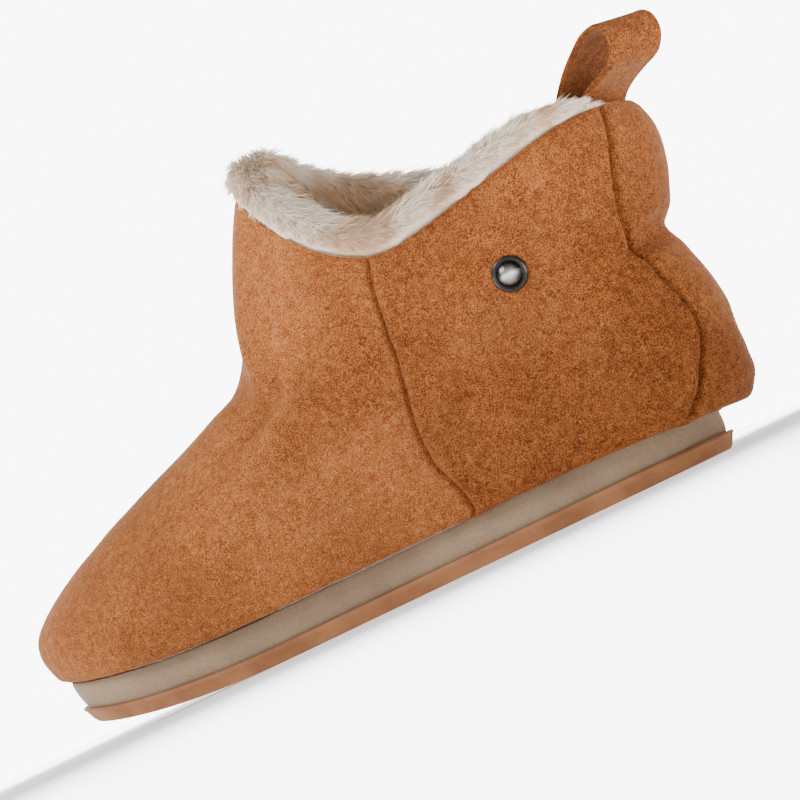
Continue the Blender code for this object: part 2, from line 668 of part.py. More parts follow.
def build_pull_loop(material):
    """The folded strap: a smooth middle line, with the thickness laid off to both sides."""
    back = np.array([row[0] for row in LOOP_PATH]) * LOOP_REACH
    up = np.array([row[1] for row in LOOP_PATH])
    up = np.where(up < 0, up * LOOP_ROOT, up * LOOP_RISE)
    back = back + np.array([row[2] for row in LOOP_PATH]) * (LOOP_THICK + LOOP_LEGS) / 2
    run = np.concatenate([[0], np.cumsum(np.hypot(np.diff(back), np.diff(up)))])
    at = np.linspace(0, run[-1], LOOP_STEPS)
    back, up = curve(at, run, back), curve(at, run, up)
    along = np.stack([np.gradient(back, at), np.gradient(up, at)], 1)
    along /= np.linalg.norm(along, axis=1)[:, None]
    rings = []
    for side, across in ((1, -1), (1, 1), (-1, 1), (-1, -1)):
        shift = side * LOOP_THICK / 2
        edge = across * LOOP_WIDTH / 2 + 0 * back
        rings.append(loop_place(back - shift * along[:, 1], edge, up + shift * along[:, 0]))
    points = np.stack(rings, 1).reshape(-1, 3)
    faces = [tuple(face) for face in grid_faces(LOOP_STEPS, 4)]
    faces += [(0, 1, 2, 3), tuple(range(4 * LOOP_STEPS - 4, 4 * LOOP_STEPS))]
    return add_mesh("pull_loop", points, faces, material)


def build_rivet(material):
    """The cap of the rivet: a flat rim and a dome turned about the wall's normal, standing on the suede."""
    place = np.array(RIVET_SIDE), np.array(RIVET_LEVEL)
    middle = shell(*place, np.array(-1.0))
    along = shell(place[0] + PLACE_STEP, place[1], np.array(-1.0)) - middle
    up = shell(place[0], place[1] + PLACE_STEP, np.array(-1.0)) - middle
    normal = np.cross(along, up)
    normal /= np.linalg.norm(normal)
    along /= np.linalg.norm(along)
    up = np.cross(normal, along)
    angle = np.linspace(0, 2 * np.pi, RIVET_SIDES, endpoint=False)
    wheel = np.cos(angle)[:, None] * along + np.sin(angle)[:, None] * up
    rings = [
        middle + normal * (height * RIVET_HEIGHT + GAP) + wheel * radius * RIVET_DIAMETER / 2
        for radius, height in RIVET_PROFILE
    ]
    faces = [tuple(face) for face in grid_faces(len(rings), RIVET_SIDES)]
    last = (len(rings) - 1) * RIVET_SIDES
    faces += [tuple(range(RIVET_SIDES)), tuple(range(last, last + RIVET_SIDES))]
    return add_mesh("rivet", np.concatenate(rings), faces, material)


def set_on_origin(pieces):
    """Moves every piece so that the middle of the whole footprint is the origin; the sole rests on z = 0."""
    meshes = [np.array([vertex.co for vertex in obj.data.vertices]) for obj in pieces]
    corners = np.concatenate(meshes)
    middle = (corners.min(0) + corners.max(0)) / 2 * [1, 1, 0]
    for obj, points in zip(pieces, meshes):
        obj.data.vertices.foreach_set("co", (points - middle).ravel())
        obj.data.update()


def main():
    """Clears the scene and builds the shoe's pieces from the floor up."""
    for obj in list(bpy.data.objects):
        bpy.data.objects.remove(obj)
    suede = add_finish("cognac suede", (0.42, 0.17, 0.062), 0.92)
    rubber = add_finish("tan rubber", (0.33, 0.15, 0.078), 0.7)
    band = add_finish("taupe microfibre", (0.37, 0.29, 0.21), 0.85)
    pile = add_finish("cream pile", (0.80, 0.73, 0.63), 0.95)
    metal = add_finish("antiqued metal", (0.30, 0.30, 0.30), 0.35, 1.0)
    pieces = build_outsole(rubber)
    pieces.append(build_midsole(band))
    pieces.append(build_insole(pile))
    pieces.append(build_upper(suede))
    pieces += build_fur_collar(pile)
    pieces.append(build_pull_loop(suede))
    pieces.append(build_rivet(metal))
    set_on_origin(pieces)


main()
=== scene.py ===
"""Dresses the left bootie slipper: napped suede upper, faux fur collar, microfibre band and rubber sole.

Lengths are metres. Shapes are worked out with x = 0 at the tip of the outsole's toe and y = 0 on its middle
line, as the solids are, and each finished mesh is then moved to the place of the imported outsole. The toe
points along -X and the outer (lateral) side along -Y. Each surface is a function of two parameters: u or a
share of the length one way, and a level up the wall or a place across the other way.
"""

import logging
from collections.abc import Sequence
from dataclasses import dataclass
from enum import Enum

import bpy
import numpy as np
from mathutils import Matrix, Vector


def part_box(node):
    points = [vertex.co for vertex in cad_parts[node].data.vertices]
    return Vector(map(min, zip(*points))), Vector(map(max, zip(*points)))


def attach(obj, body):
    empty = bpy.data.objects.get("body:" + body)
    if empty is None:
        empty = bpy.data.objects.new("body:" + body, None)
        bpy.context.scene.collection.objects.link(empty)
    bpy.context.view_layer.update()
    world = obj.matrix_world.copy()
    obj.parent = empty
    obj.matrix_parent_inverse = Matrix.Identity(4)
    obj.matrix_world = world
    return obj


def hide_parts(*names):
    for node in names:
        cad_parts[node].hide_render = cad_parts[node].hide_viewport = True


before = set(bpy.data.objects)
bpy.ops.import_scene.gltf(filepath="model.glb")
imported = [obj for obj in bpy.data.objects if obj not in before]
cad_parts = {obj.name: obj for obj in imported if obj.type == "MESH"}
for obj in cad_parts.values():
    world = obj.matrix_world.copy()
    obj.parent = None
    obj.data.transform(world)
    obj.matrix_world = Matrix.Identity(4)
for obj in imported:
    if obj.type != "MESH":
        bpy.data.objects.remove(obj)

Array = np.ndarray
Node = bpy.types.Node
Tree = bpy.types.NodeTree
Socket = bpy.types.NodeSocket
Piece = bpy.types.Object

log = logging.getLogger("slipper")


class Side(Enum):
    """A side of the shoe, by the sign of its y."""

    LATERAL = -1
    MEDIAL = 1
    BOTH = 0


# Tables of the last


@dataclass(frozen=True)
class Ring:
    """One ring of the upper between the feather edge, level 0, and the collar, level 1.

    front and back are where it crosses the middle line: along as a share of the sole's length or of the
    heel's overhang, up as a share of the height there. side_up is its height at the side, reach the share
    of the ring over which the front's height fades, arch how far its width follows the last's arched
    sections, swell its share of the bulge, girth its width behind, and the seams where they cross it.
    """

    level: float
    front_along: float
    front_up: float
    back_along: float
    back_up: float
    side_up: float
    reach: float
    arch: float
    swell: float
    girth: float
    vamp_seam: float
    back_seam: float


RINGS = (
    Ring(0.00, -0.002, 0.000, -0.14, 0.000, 0.00, 1.00, 0.00, -0.10, 0.90, 0.612, 0.835),
    Ring(0.03, -0.014, 0.010, 0.52, -0.035, 0.012, 1.00, 0.00, 0.45, 0.91, 0.606, 0.838),
    Ring(0.07, -0.022, 0.050, 0.92, 0.015, 0.05, 1.00, 0.00, 0.85, 0.92, 0.599, 0.846),
    Ring(0.14, -0.026, 0.112, 1.07, 0.110, 0.12, 1.00, 0.00, 1.00, 0.93, 0.592, 0.865),
    Ring(0.22, -0.012, 0.172, 1.08, 0.220, 0.20, 1.00, 0.15, 1.00, 0.93, 0.581, 0.891),
    Ring(0.30, 0.038, 0.256, 1.03, 0.325, 0.28, 0.97, 0.50, 0.95, 0.92, 0.568, 0.891),
    Ring(0.40, 0.152, 0.370, 0.93, 0.410, 0.37, 0.92, 0.85, 0.80, 0.91, 0.541, 0.877),
    Ring(0.50, 0.258, 0.446, 0.82, 0.488, 0.46, 0.85, 1.00, 0.60, 0.90, 0.512, 0.864),
    Ring(0.60, 0.380, 0.531, 0.80, 0.565, 0.56, 0.76, 1.00, 0.40, 0.91, 0.464, 0.840),
    Ring(0.69, 0.452, 0.623, 1.00, 0.660, 0.66, 0.66, 1.00, 0.30, 0.94, 0.419, 0.816),
    Ring(0.80, 0.479, 0.777, 1.28, 0.773, 0.78, 0.56, 1.00, 0.30, 0.98, 0.399, 0.808),
    Ring(0.91, 0.510, 0.909, 1.40, 0.900, 0.90, 0.48, 1.00, 0.30, 1.01, 0.380, 0.824),
    Ring(1.00, 0.539, 1.000, 1.25, 1.000, 1.00, 0.42, 1.00, 0.30, 1.00, 0.368, 0.849),
)

# The sole's plan: share of the length from the toe, lateral half width and medial half width.
OUTLINE = (
    (0.00, 0.03395, 0.03589),
    (0.12, 0.03880, 0.04268),
    (0.25, 0.04365, 0.05287),
    (0.38, 0.04123, 0.05432),
    (0.55, 0.03395, 0.03640),
    (0.73, 0.03498, 0.03333),
    (0.87, 0.03399, 0.03234),
    (1.00, 0.03300, 0.03168),
)


# Small functions


def smooth(s: Array) -> Array:
    """3 s^2 - 2 s^3 of s held between 0 and 1: rises with level ends."""
    s = np.clip(s, 0, 1)
    return s * s * (3 - 2 * s)


def hump(distance: Array, width: float | Array) -> Array:
    """e to the power of minus (distance / width) squared: a soft hump one unit tall."""
    return np.exp(-((distance / width) ** 2))


def through(at: Array, places: Sequence[float], values: Sequence[float] | Array) -> Array:
    """A smooth curve through given values: cubic pieces whose slopes are those of their neighbours.

    Args:
        at: where the curve is read.
        places: rising places of the values.
        values: one value for each place, or an array whose further axes match those of at.

    Returns:
        The curve's values.
    """
    places = np.asarray(places, float)
    values = np.asarray(values, float)
    slopes = np.gradient(values, places, axis=0)
    at = np.clip(at, places[0], places[-1])
    left = np.clip(np.searchsorted(places, at, side="right") - 1, 0, len(places) - 2)
    span = places[left + 1] - places[left]
    s = (at - places[left]) / span
    own = tuple(np.indices(left.shape)) if values.ndim > 1 else ()
    start, end = (left, *own), (left + 1, *own)
    return (
        values[start] * (1 + 2 * s) * (1 - s) ** 2
        + slopes[start] * span * s * (1 - s) ** 2
        + values[end] * s**2 * (3 - 2 * s)
        + slopes[end] * span * s**2 * (s - 1)
    )


def unit(vectors: Array) -> Array:
    """Each vector divided by its length."""
    return vectors / np.maximum(np.linalg.norm(vectors, axis=-1, keepdims=True), 1e-12)


def random_field(points: Array, cell: float, seed: int) -> Array:
    """A smooth random field between -1 and 1.

    Each corner of a cubic lattice gets a number from its whole-number place, and the eight around a point
    are blended with the smooth weights of its place in the cell.

    Args:
        points: places, three coordinates in the last axis.
        cell: the lattice's spacing.
        seed: chooses one of many fields.

    Returns:
        One value for each point.
    """
    place = points / cell
    corner = np.floor(place).astype(np.int64)
    part = smooth(place - corner)
    total = np.zeros(points.shape[:-1])
    for offset in np.ndindex(2, 2, 2):
        at = corner + offset
        mixed = at[..., 0] * 374761393 + at[..., 1] * 668265263 + at[..., 2] * 40503 * 65537
        mixed = (mixed + seed * 1274126) & 0xFFFFFFFF
        mixed = ((mixed ^ (mixed >> 13)) * 1274126177) & 0xFFFFFFFF
        value = ((mixed ^ (mixed >> 16)) & 0xFFFF) / 32767.5 - 1
        total += value * np.prod(np.where(offset, part, 1 - part), axis=-1)
    return total


def ring_faces(rows: int, columns: int, wrap_rows: bool = False) -> Array:
    """Quads between rows of points, each row a closed ring.

    Args:
        rows: how many rings.
        columns: points in each.
        wrap_rows: whether the last ring joins the first.

    Returns:
        Four point numbers for each face.
    """
    row = np.arange(rows if wrap_rows else rows - 1)
    row, column = (part.ravel() for part in np.meshgrid(row, np.arange(columns), indexing="ij"))
    above = (row + 1) % rows
    beside = (column + 1) % columns
    low, high = row * columns, above * columns
    return np.stack([low + column, low + beside, high + beside, high + column], 1)


def tube_faces(rows: int, columns: int) -> list[list[int]]:
    """The faces of stacked rings, with a flat cap at each end."""
    last = (rows - 1) * columns
    caps = [list(range(columns))[::-1], list(range(last, last + columns))]
    return ring_faces(rows, columns).tolist() + caps


def along_path(points: Array) -> Array:
    """The length run from the first point to each point of a path."""
    return np.concatenate([[0], np.cumsum(np.linalg.norm(np.diff(points, axis=0), axis=1))])


def linear(hex_colour: str) -> tuple[float, float, float, float]:
    """An sRGB hex colour as linear red, green, blue and alpha."""
    parts = [int(hex_colour[i : i + 2], 16) / 255 for i in (1, 3, 5)]
    red, green, blue = (c / 12.92 if c <= 0.04045 else ((c + 0.055) / 1.055) ** 2.4 for c in parts)
    return red, green, blue, 1.0


def add_node(tree: Tree, kind: str, settings: dict | None = None, links: dict | None = None) -> Node:
    """Adds one shader node with its settings and links.

    Args:
        tree: the node tree.
        kind: Blender's name of the node type, without its first word ShaderNode.
        settings: values by the name or number of an input, or by the name of a property.
        links: outputs that feed inputs, by the input's name or number.

    Returns:
        The new node.
    """
    node = tree.nodes.new(f"ShaderNode{kind}")
    for key, value in (settings or {}).items():
        if isinstance(key, str) and hasattr(node, key):
            setattr(node, key, value)
        else:
            node.inputs[key].default_value = value
    for key, output in (links or {}).items():
        tree.links.new(output, node.inputs[key])
    return node


# Finishes


@dataclass(frozen=True)
class Finish:
    """A finish: its name, a slot name, and the plain settings of its shader."""

    name: str
    slot: str
    roughness: float
    ior: float = 1.5
    metallic: float = 0.0
    sheen: float = 0.0
    sheen_roughness: float = 0.5
    sheen_tint: str = "#FFFFFF"
    specular: float = 0.5

    def colour_and_height(self, tree: Tree) -> tuple[Socket, Socket]:
        """The outputs that give the surface its colour and its relief in metres."""
        raise NotImplementedError

    def material(self) -> bpy.types.Material:
        """Makes the material, or finds it where it is already made.

        Returns:
            The material, with colour and bump from colour_and_height.
        """
        found = bpy.data.materials.get(self.name)
        if found:
            return found
        made = bpy.data.materials.new(self.name)
        made.use_nodes = True
        tree = made.node_tree
        shader = tree.nodes["Principled BSDF"]
        plain = {
            "Roughness": self.roughness,
            "IOR": self.ior,
            "Metallic": self.metallic,
            "Sheen Weight": self.sheen,
            "Sheen Roughness": self.sheen_roughness,
            "Sheen Tint": linear(self.sheen_tint),
            "Specular IOR Level": self.specular,
        }
        for key, value in plain.items():
            shader.inputs[key].default_value = value
        colour, height = self.colour_and_height(tree)
        tree.links.new(colour, shader.inputs["Base Color"])
        bumped = add_node(tree, "Bump", {"Strength": 1.0, "Distance": 1.0}, {"Height": height})
        tree.links.new(bumped.outputs["Normal"], shader.inputs["Normal"])
        return made


@dataclass(frozen=True)
class Suede(Finish):
    """Split leather buffed to a short nap: matt and finely flecked, lighter where the nap stands up, darker
    where it lies flat and where shade is painted.
    """

    base: str = "#9E5A2D"
    fleck_dark: str = "#703A18"
    fleck_light: str = "#BE8050"
    # The flat colours serve both flat nap and painted shade.
    flat_and_shaded_base: str = "#7C411C"
    flat_and_shaded_dark: str = "#401B07"
    flat_and_shaded_light: str = "#A96834"
    fleck_mm: float = 0.46  # one tuft of nap
    swirl_mm: float = 2.6  # the nap's lay, which turns a little from place to place
    cloud_mm: float = 30.0
    relief_mm: float = 0.09

    def fleck_colours(
        self, tree: Tree, share: Socket, dark: str, middle: str, light: str
    ) -> Socket:
        """Three colours of nap along one share, from the tufts' roots to their tips."""
        node = add_node(tree, "ValToRGB", {}, {"Fac": share})
        ramp = node.color_ramp
        ramp.elements[0].position, ramp.elements[0].color = 0.36, linear(dark)
        ramp.elements[1].position, ramp.elements[1].color = 0.64, linear(light)
        ramp.elements.new(0.50).color = linear(middle)
        return node.outputs["Color"]

    def colour_and_height(self, tree: Tree) -> tuple[Socket, Socket]:
        """Flecks of nap over soft clouds, lighter where it stands up, darker where it lies flat and where
        shade is painted.

        The surface's own attribute, 0 to 1, says how flat the nap lies and also carries painted shade and
        painted highlight. The flecks make the relief too.
        """
        place = add_node(tree, "TexCoord").outputs["Object"]
        fleck = add_node(
            tree,
            "TexNoise",
            {"Scale": 1000 / self.fleck_mm, "Detail": 1.0, "Roughness": 0.75},
            {"Vector": place},
        )
        swirl = add_node(
            tree,
            "TexNoise",
            {"Scale": 1000 / self.swirl_mm, "Detail": 2.0, "Roughness": 0.6, "Distortion": 0.6},
            {"Vector": place},
        )
        cloud = add_node(
            tree,
            "TexNoise",
            {"Scale": 1000 / self.cloud_mm, "Detail": 2.0, "Roughness": 0.5},
            {"Vector": place},
        )
        nap = add_node(
            tree,
            "Math",
            {"operation": "MULTIPLY_ADD", 1: 0.25, 2: 0.0},
            {0: swirl.outputs["Fac"]},
        )
        share = add_node(
            tree,
            "Math",
            {"operation": "MULTIPLY_ADD", 1: 0.75},
            {0: fleck.outputs["Fac"], 2: nap.outputs["Value"]},
        )
        raised, flat = (
            self.fleck_colours(tree, share.outputs["Value"], *colours)
            for colours in (
                (self.fleck_dark, self.base, self.fleck_light),
                (self.flat_and_shaded_dark, self.flat_and_shaded_base, self.flat_and_shaded_light),
            )
        )
        # Mixes to the flat colours where the nap lies flat and where shade is painted.
        flat_nap_and_shade = add_node(tree, "Attribute", {"attribute_name": "flat_nap_and_shade"})
        flecks = add_node(
            tree, "Mix", {"data_type": "RGBA"}, {0: flat_nap_and_shade.outputs["Fac"], 6: raised, 7: flat}
        )
        clouds = add_node(
            tree,
            "MapRange",
            {"From Min": 0.35, "From Max": 0.68, "To Min": 0.88, "To Max": 1.10},
            {"Value": cloud.outputs["Fac"]},
        )
        shaded = add_node(
            tree,
            "VectorMath",
            {"operation": "SCALE"},
            {0: flecks.outputs[2], "Scale": clouds.outputs["Result"]},
        )
        height = add_node(
            tree,
            "Math",
            {"operation": "MULTIPLY", 1: self.relief_mm / 1000},
            {0: share.outputs["Value"]},
        )
        return shaded.outputs["Vector"], height.outputs["Value"]


@dataclass(frozen=True)
class Microfibre(Finish):
    """Brushed polyester microfibre: even, dry and soft, with a faint cloudiness and a very fine nap."""

    base: str = "#AF977B"
    shade: str = "#97806A"
    nap_mm: float = 0.5
    cloud_mm: float = 18.0
    relief_mm: float = 0.05

    def colour_and_height(self, tree: Tree) -> tuple[Socket, Socket]:
        """Two near colours clouded together, with the fine nap as relief."""
        place = add_node(tree, "TexCoord").outputs["Object"]
        cloud = add_node(
            tree, "TexNoise", {"Scale": 1000 / self.cloud_mm, "Detail": 2.0}, {"Vector": place}
        )
        nap = add_node(
            tree, "TexNoise", {"Scale": 1000 / self.nap_mm / 1.6, "Detail": 1.0}, {"Vector": place}
        )
        share = add_node(
            tree,
            "Math",
            {"operation": "MULTIPLY_ADD", 1: 0.55},
            {0: nap.outputs["Fac"], 2: cloud.outputs["Fac"]},
        )
        colour = add_node(tree, "ValToRGB", {}, {"Fac": share.outputs["Value"]})
        ramp = colour.color_ramp
        ramp.elements[0].position, ramp.elements[0].color = 0.55, linear(self.shade)
        ramp.elements[1].position, ramp.elements[1].color = 1.0, linear(self.base)
        height = add_node(
            tree, "Math", {"operation": "MULTIPLY", 1: self.relief_mm / 1000}, {0: nap.outputs["Fac"]}
        )
        return colour.outputs["Color"], height.outputs["Value"]


@dataclass(frozen=True)
class Rubber(Finish):
    """Thermoplastic rubber from a mould: a low, waxy sheen, with soft darker clouds."""

    base: str = "#B27A50"
    shade: str = "#9C6640"
    grain_mm: float = 0.6
    cloud_mm: float = 14.0
    relief_mm: float = 0.03

    def colour_and_height(self, tree: Tree) -> tuple[Socket, Socket]:
        """One colour with soft darker clouds, and the mould's fine matt grain as relief."""
        place = add_node(tree, "TexCoord").outputs["Object"]
        cloud = add_node(
            tree, "TexNoise", {"Scale": 1000 / self.cloud_mm, "Detail": 4.0}, {"Vector": place}
        )
        grain = add_node(
            tree, "TexNoise", {"Scale": 1000 / self.grain_mm, "Detail": 2.0}, {"Vector": place}
        )
        colour = add_node(tree, "ValToRGB", {}, {"Fac": cloud.outputs["Fac"]})
        ramp = colour.color_ramp
        ramp.elements[0].position, ramp.elements[0].color = 0.35, linear(self.shade)
        ramp.elements[1].position, ramp.elements[1].color = 0.62, linear(self.base)
        height = add_node(
            tree, "Math", {"operation": "MULTIPLY", 1: self.relief_mm / 1000}, {0: grain.outputs["Fac"]}
        )
        return colour.outputs["Color"], height.outputs["Value"]


@dataclass(frozen=True)
class FauxFur(Finish):
    """Knitted acrylic pile: cream fibres with tan tips in patches, with painted shade deep in the pile
    between the roots.
    """

    cream: str = "#FDF2E2"
    tan: str = "#D2A576"
    # the colour of painted shade deep in the pile
    root: str = "#D0A97F"

    def colour_and_height(self, tree: Tree) -> tuple[Socket, Socket]:
        """Cream turns to tan by the pile's own tan attribute, and to the root's colour, painted shade deep in
        the pile, by its depth attribute.
        """
        tan = add_node(tree, "Attribute", {"attribute_name": "tan"})
        depth = add_node(tree, "Attribute", {"attribute_name": "depth"})
        tipped = add_node(
            tree,
            "Mix",
            {"data_type": "RGBA", 6: linear(self.cream), 7: linear(self.tan)},
            {0: tan.outputs["Fac"]},
        )
        colour = add_node(
            tree,
            "Mix",
            {"data_type": "RGBA", 7: linear(self.root)},
            {0: depth.outputs["Fac"], 6: tipped.outputs[2]},
        )
        place = add_node(tree, "TexCoord").outputs["Object"]
        fibre = add_node(tree, "TexNoise", {"Scale": 700.0, "Detail": 2.0}, {"Vector": place})
        height = add_node(tree, "Math", {"operation": "MULTIPLY", 1: 0.0003}, {0: fibre.outputs["Fac"]})
        return colour.outputs[2], height.outputs["Value"]


@dataclass(frozen=True)
class Gunmetal(Finish):
    """Pressed brass cap with an antiqued nickel plate: dark in its hollows and round its rim, lightest on the
    dome's top as wear and a painted highlight.
    """

    # the colour of wear and of a painted highlight on the dome's top
    polish_and_highlight: str = "#B4B1AC"
    worn: str = "#6E6B68"
    dark: str = "#2B2927"

    def colour_and_height(self, tree: Tree) -> tuple[Socket, Socket]:
        """Metal lightest on the dome's top, as wear and a painted highlight, by the cap's own attribute, dark
        on the rim, with fine patina.
        """
        place = add_node(tree, "TexCoord").outputs["Object"]
        patina = add_node(tree, "TexNoise", {"Scale": 900.0, "Detail": 3.0}, {"Vector": place})
        wear_and_highlight = add_node(tree, "Attribute", {"attribute_name": "wear_and_highlight"})
        share = add_node(
            tree,
            "Math",
            {"operation": "MULTIPLY_ADD", 1: 0.30},
            {0: patina.outputs["Fac"], 2: wear_and_highlight.outputs["Fac"]},
        )
        colour = add_node(tree, "ValToRGB", {}, {"Fac": share.outputs["Value"]})
        ramp = colour.color_ramp
        ramp.elements[0].position, ramp.elements[0].color = 0.20, linear(self.dark)
        ramp.elements[1].position, ramp.elements[1].color = 0.95, linear(self.polish_and_highlight)
        ramp.elements.new(0.55).color = linear(self.worn)
        height = add_node(tree, "Math", {"operation": "MULTIPLY", 1: 0.00008}, {0: patina.outputs["Fac"]})
        return colour.outputs["Color"], height.outputs["Value"]


SUEDE = Suede(
    "suede, buffed split",
    "suede",
    0.95,
    sheen=0.15,
    sheen_roughness=0.45,
    sheen_tint="#EFC397",
    specular=0.15,
)
BAND = Microfibre("microfibre, brushed", "band", 0.92, sheen=0.25, sheen_tint="#F2E6D6", specular=0.2)
RUBBER = Rubber("thermoplastic rubber, moulded", "rubber_sole", 0.62, ior=1.52, specular=0.35)
FUR = FauxFur("acrylic pile, knitted", "pile", 0.8, sheen=0.4, sheen_tint="#FFFAF2", specular=0.25)
METAL = Gunmetal("nickel plate, antiqued", "rivet_metal", 0.33, metallic=1.0)


# The last


@dataclass(frozen=True)
class Last:
    """The form that the shoe is built round, with the sizes that its parts share."""

    sole_length: float = 0.268
    toe_spring: float = 0.011
    spring_start: float = 0.37
    toe_shift: float = 0.0035
    toe_round: float = 0.056
    heel_round: float = 0.038
    feather: float = 0.0168
    front_height: float = 0.160
    side_height: float = 0.111
    back_height: float = 0.123
    heel_overhang: float = 0.016
    bulge: float = 0.0045
    widest_rise: float = 0.013
    medial_rise: float = 0.008
    medial_reach: float = 0.18
    collar_width: float = 0.078
    ridge_shift: float = 0.005
    back_start: float = 0.55
    back_climb: float = 0.19
    back_reach: float = 0.45
    ridge_end: float = 0.45
    arch_power: float = 2.1
    oval_start: float = np.pi / 3
    toe_level: float = 0.14
    vamp_line: float = 0.5
    back_line: float = 0.83

    def ring_column(self, name: str, level: Array | float) -> Array:
        """One column of the table of rings, read at any level up the wall."""
        return through(level, [ring.level for ring in RINGS], [getattr(ring, name) for ring in RINGS])

    def toe_lift(self, x: Array) -> Array:
        """Height of the sole's underside at x: level to the ball, then rising with the distance's square."""
        share = (self.spring_start - x / self.sole_length) / self.spring_start
        return self.toe_spring * np.clip(share, 0, 1) ** 2

    def half_widths(self, share: Array) -> tuple[Array, Array]:
        """Lateral and medial half width of the sole at a share of its length, before its ends are rounded."""
        places, lateral, medial = zip(*OUTLINE)
        return through(share, places, lateral), through(share, places, medial)

    def middle_line(self, share: Array) -> Array:
        """How far the sole's middle line swings inwards: the power 1.5 of the distance from the middle."""
        return self.toe_shift * np.clip(1 - 2 * share, 0, 1) ** 1.5

    def closing(self, x: Array, front: Array | float, back: Array | float) -> Array:
        """Rounds the two ends of a plan from front to back: a quarter of an oval at each."""
        toe = np.clip((x - front) / self.toe_round, 0, 1)
        heel = np.clip((back - x) / self.heel_round, 0, 1)
        return np.sqrt(toe * (2 - toe) * heel * (2 - heel))

    def sole_sides(self, inset: float | Array, stations: int) -> tuple[Array, Array]:
        """The sole's plan drawn in by inset, as its lateral and its medial side.

        The plan is the half widths times the rounding of the ends. Each point moves inwards along the
        plan's normal, which is at right angles to the step between its neighbours.

        Args:
            inset: how far the plan is drawn in, one number or one for each point of the whole ring.
            stations: steps along the length, close together near both ends.

        Returns:
            Two arrays of (x, y), from the toe to the heel.
        """
        share = (1 - np.cos(np.linspace(0, np.pi, stations + 1))) / 2
        lateral, medial = self.half_widths(share)
        middle = self.middle_line(share)
        x = share * self.sole_length
        rounding = self.closing(x, 0, self.sole_length)
        near = np.stack([x, middle - lateral * rounding], 1)
        far = np.stack([x, middle + medial * rounding], 1)
        plan = np.concatenate([near, far[-2:0:-1]])
        along = np.roll(plan, -1, 0) - np.roll(plan, 1, 0)
        outward = unit(np.stack([along[:, 1], -along[:, 0]], 1))
        plan = plan - np.reshape(inset, (-1, 1)) * outward
        far = np.concatenate([plan[:1], plan[: stations - 1 : -1]])
        return plan[: stations + 1], far

    def lifted(self, x: Array, up: Array) -> Array:
        """Height above the floor of a place above the feather edge: the toe's rise fades with its square."""
        share_up = np.clip(up / (self.front_height - self.feather), 0, 1)
        return self.feather + up + self.toe_lift(x) * (1 - share_up) ** 2

    def ridge_height(self, x: Array) -> Array:
        """Height of the upper's top line at x, carried on upwards past the collar's front."""
        levels = np.linspace(self.toe_level, 1, 60)
        places = self.sole_length * self.ring_column("front_along", levels)
        rises = (self.front_height - self.feather) * self.ring_column("front_up", levels)
        heights = self.lifted(places, rises)
        slope = (heights[-1] - heights[-4]) / (places[-1] - places[-4])
        return np.interp(x, places, heights) + slope * np.clip(x - places[-1], 0, None)

    def body_half_widths(self, x: Array) -> tuple[Array, Array]:
        """Lateral and medial half width of the upper at its widest line: the sole's, spread and bulged."""
        front = self.sole_length * min(ring.front_along for ring in RINGS)
        back = self.sole_length + self.heel_overhang
        lateral, medial = self.half_widths(np.clip((x - front) / (back - front), 0, 1))
        rounding = self.closing(x, front, back)
        return (lateral + self.bulge) * rounding, (medial + self.bulge) * rounding

    def side_share(self, u: Array, level: Array) -> Array:
        """Place round one side, warped by a smooth curve so that both seams lie on lines of constant u."""
        seams = self.ring_column("vamp_seam", level), self.ring_column("back_seam", level)
        values = np.stack(np.broadcast_arrays(0 * u, *seams, 0 * u + 1))
        return through(np.broadcast_to(u, values.shape[1:]), [0, self.vamp_line, self.back_line, 1], values)

    def shell(self, u: Array, level: Array, side: Array) -> Array:
        """The upper's outer face.

        Each ring lies between a front and a back point of the middle line. Its height fades from the
        front's to the side's and rises again to the back's. Its half width goes from the sole's plan with
        a bulge to the last's arched sections, body (1 - q^p)^(1/p) with q the height's share of the top
        line's, and to an oval behind.

        Args:
            u: front 0 to back 1 on one side.
            level: feather edge 0 to collar 1.
            side: -1 lateral, 1 medial.

        Returns:
            Points, three coordinates in the last axis.
        """
        angle = np.pi * self.side_share(u, level)
        share = (1 - np.cos(angle)) / 2
        front = self.sole_length * self.ring_column("front_along", level)
        back = self.sole_length + self.heel_overhang * self.ring_column("back_along", level)
        x = front + (back - front) * share
        rise_front = (self.front_height - self.feather) * self.ring_column("front_up", level)
        rise_back = (self.back_height - self.feather) * self.ring_column("back_up", level)
        rise_side = (self.side_height - self.feather) * self.ring_column("side_up", level)
        rise_side = rise_side + self.medial_rise * smooth(level) * (side > 0)
        reach = self.ring_column("reach", level) + self.medial_reach * smooth(level) * (side > 0)
        from_front = 1 - smooth(angle / (np.pi * reach))
        back_start = self.back_start - self.back_climb * smooth(level)
        from_back = smooth((angle / np.pi - back_start) / self.back_reach)
        up = rise_side + (rise_front - rise_side) * from_front + (rise_back - rise_side) * from_back
        z = self.lifted(x, up)
        lateral, medial = self.half_widths(share)
        rounding = self.closing(x, front, back)
        swell = self.bulge * self.ring_column("swell", level)
        low = (np.where(side < 0, lateral, medial) + swell) * rounding
        body_lateral, body_medial = self.body_half_widths(x)
        body = np.where(side < 0, body_lateral, body_medial)
        widest = self.feather + self.widest_rise + self.toe_lift(x)
        q = np.clip((z - widest) / (self.ridge_height(x) - widest), 0, 1)
        arched = body * (1 - q**self.arch_power) ** (1 / self.arch_power)
        oval = self.collar_width / 2 * self.ring_column("girth", level) * rounding
        high = arched + (oval - arched) * smooth((angle - self.oval_start) / self.oval_start)
        half = low + (high - low) * self.ring_column("arch", level)
        ridge = self.ridge_shift * np.clip(1 - x / (self.sole_length * self.ridge_end), 0, 1) ** 1.5
        return np.stack([x, side * half + ridge * (1 - share) ** 2, z], -1)

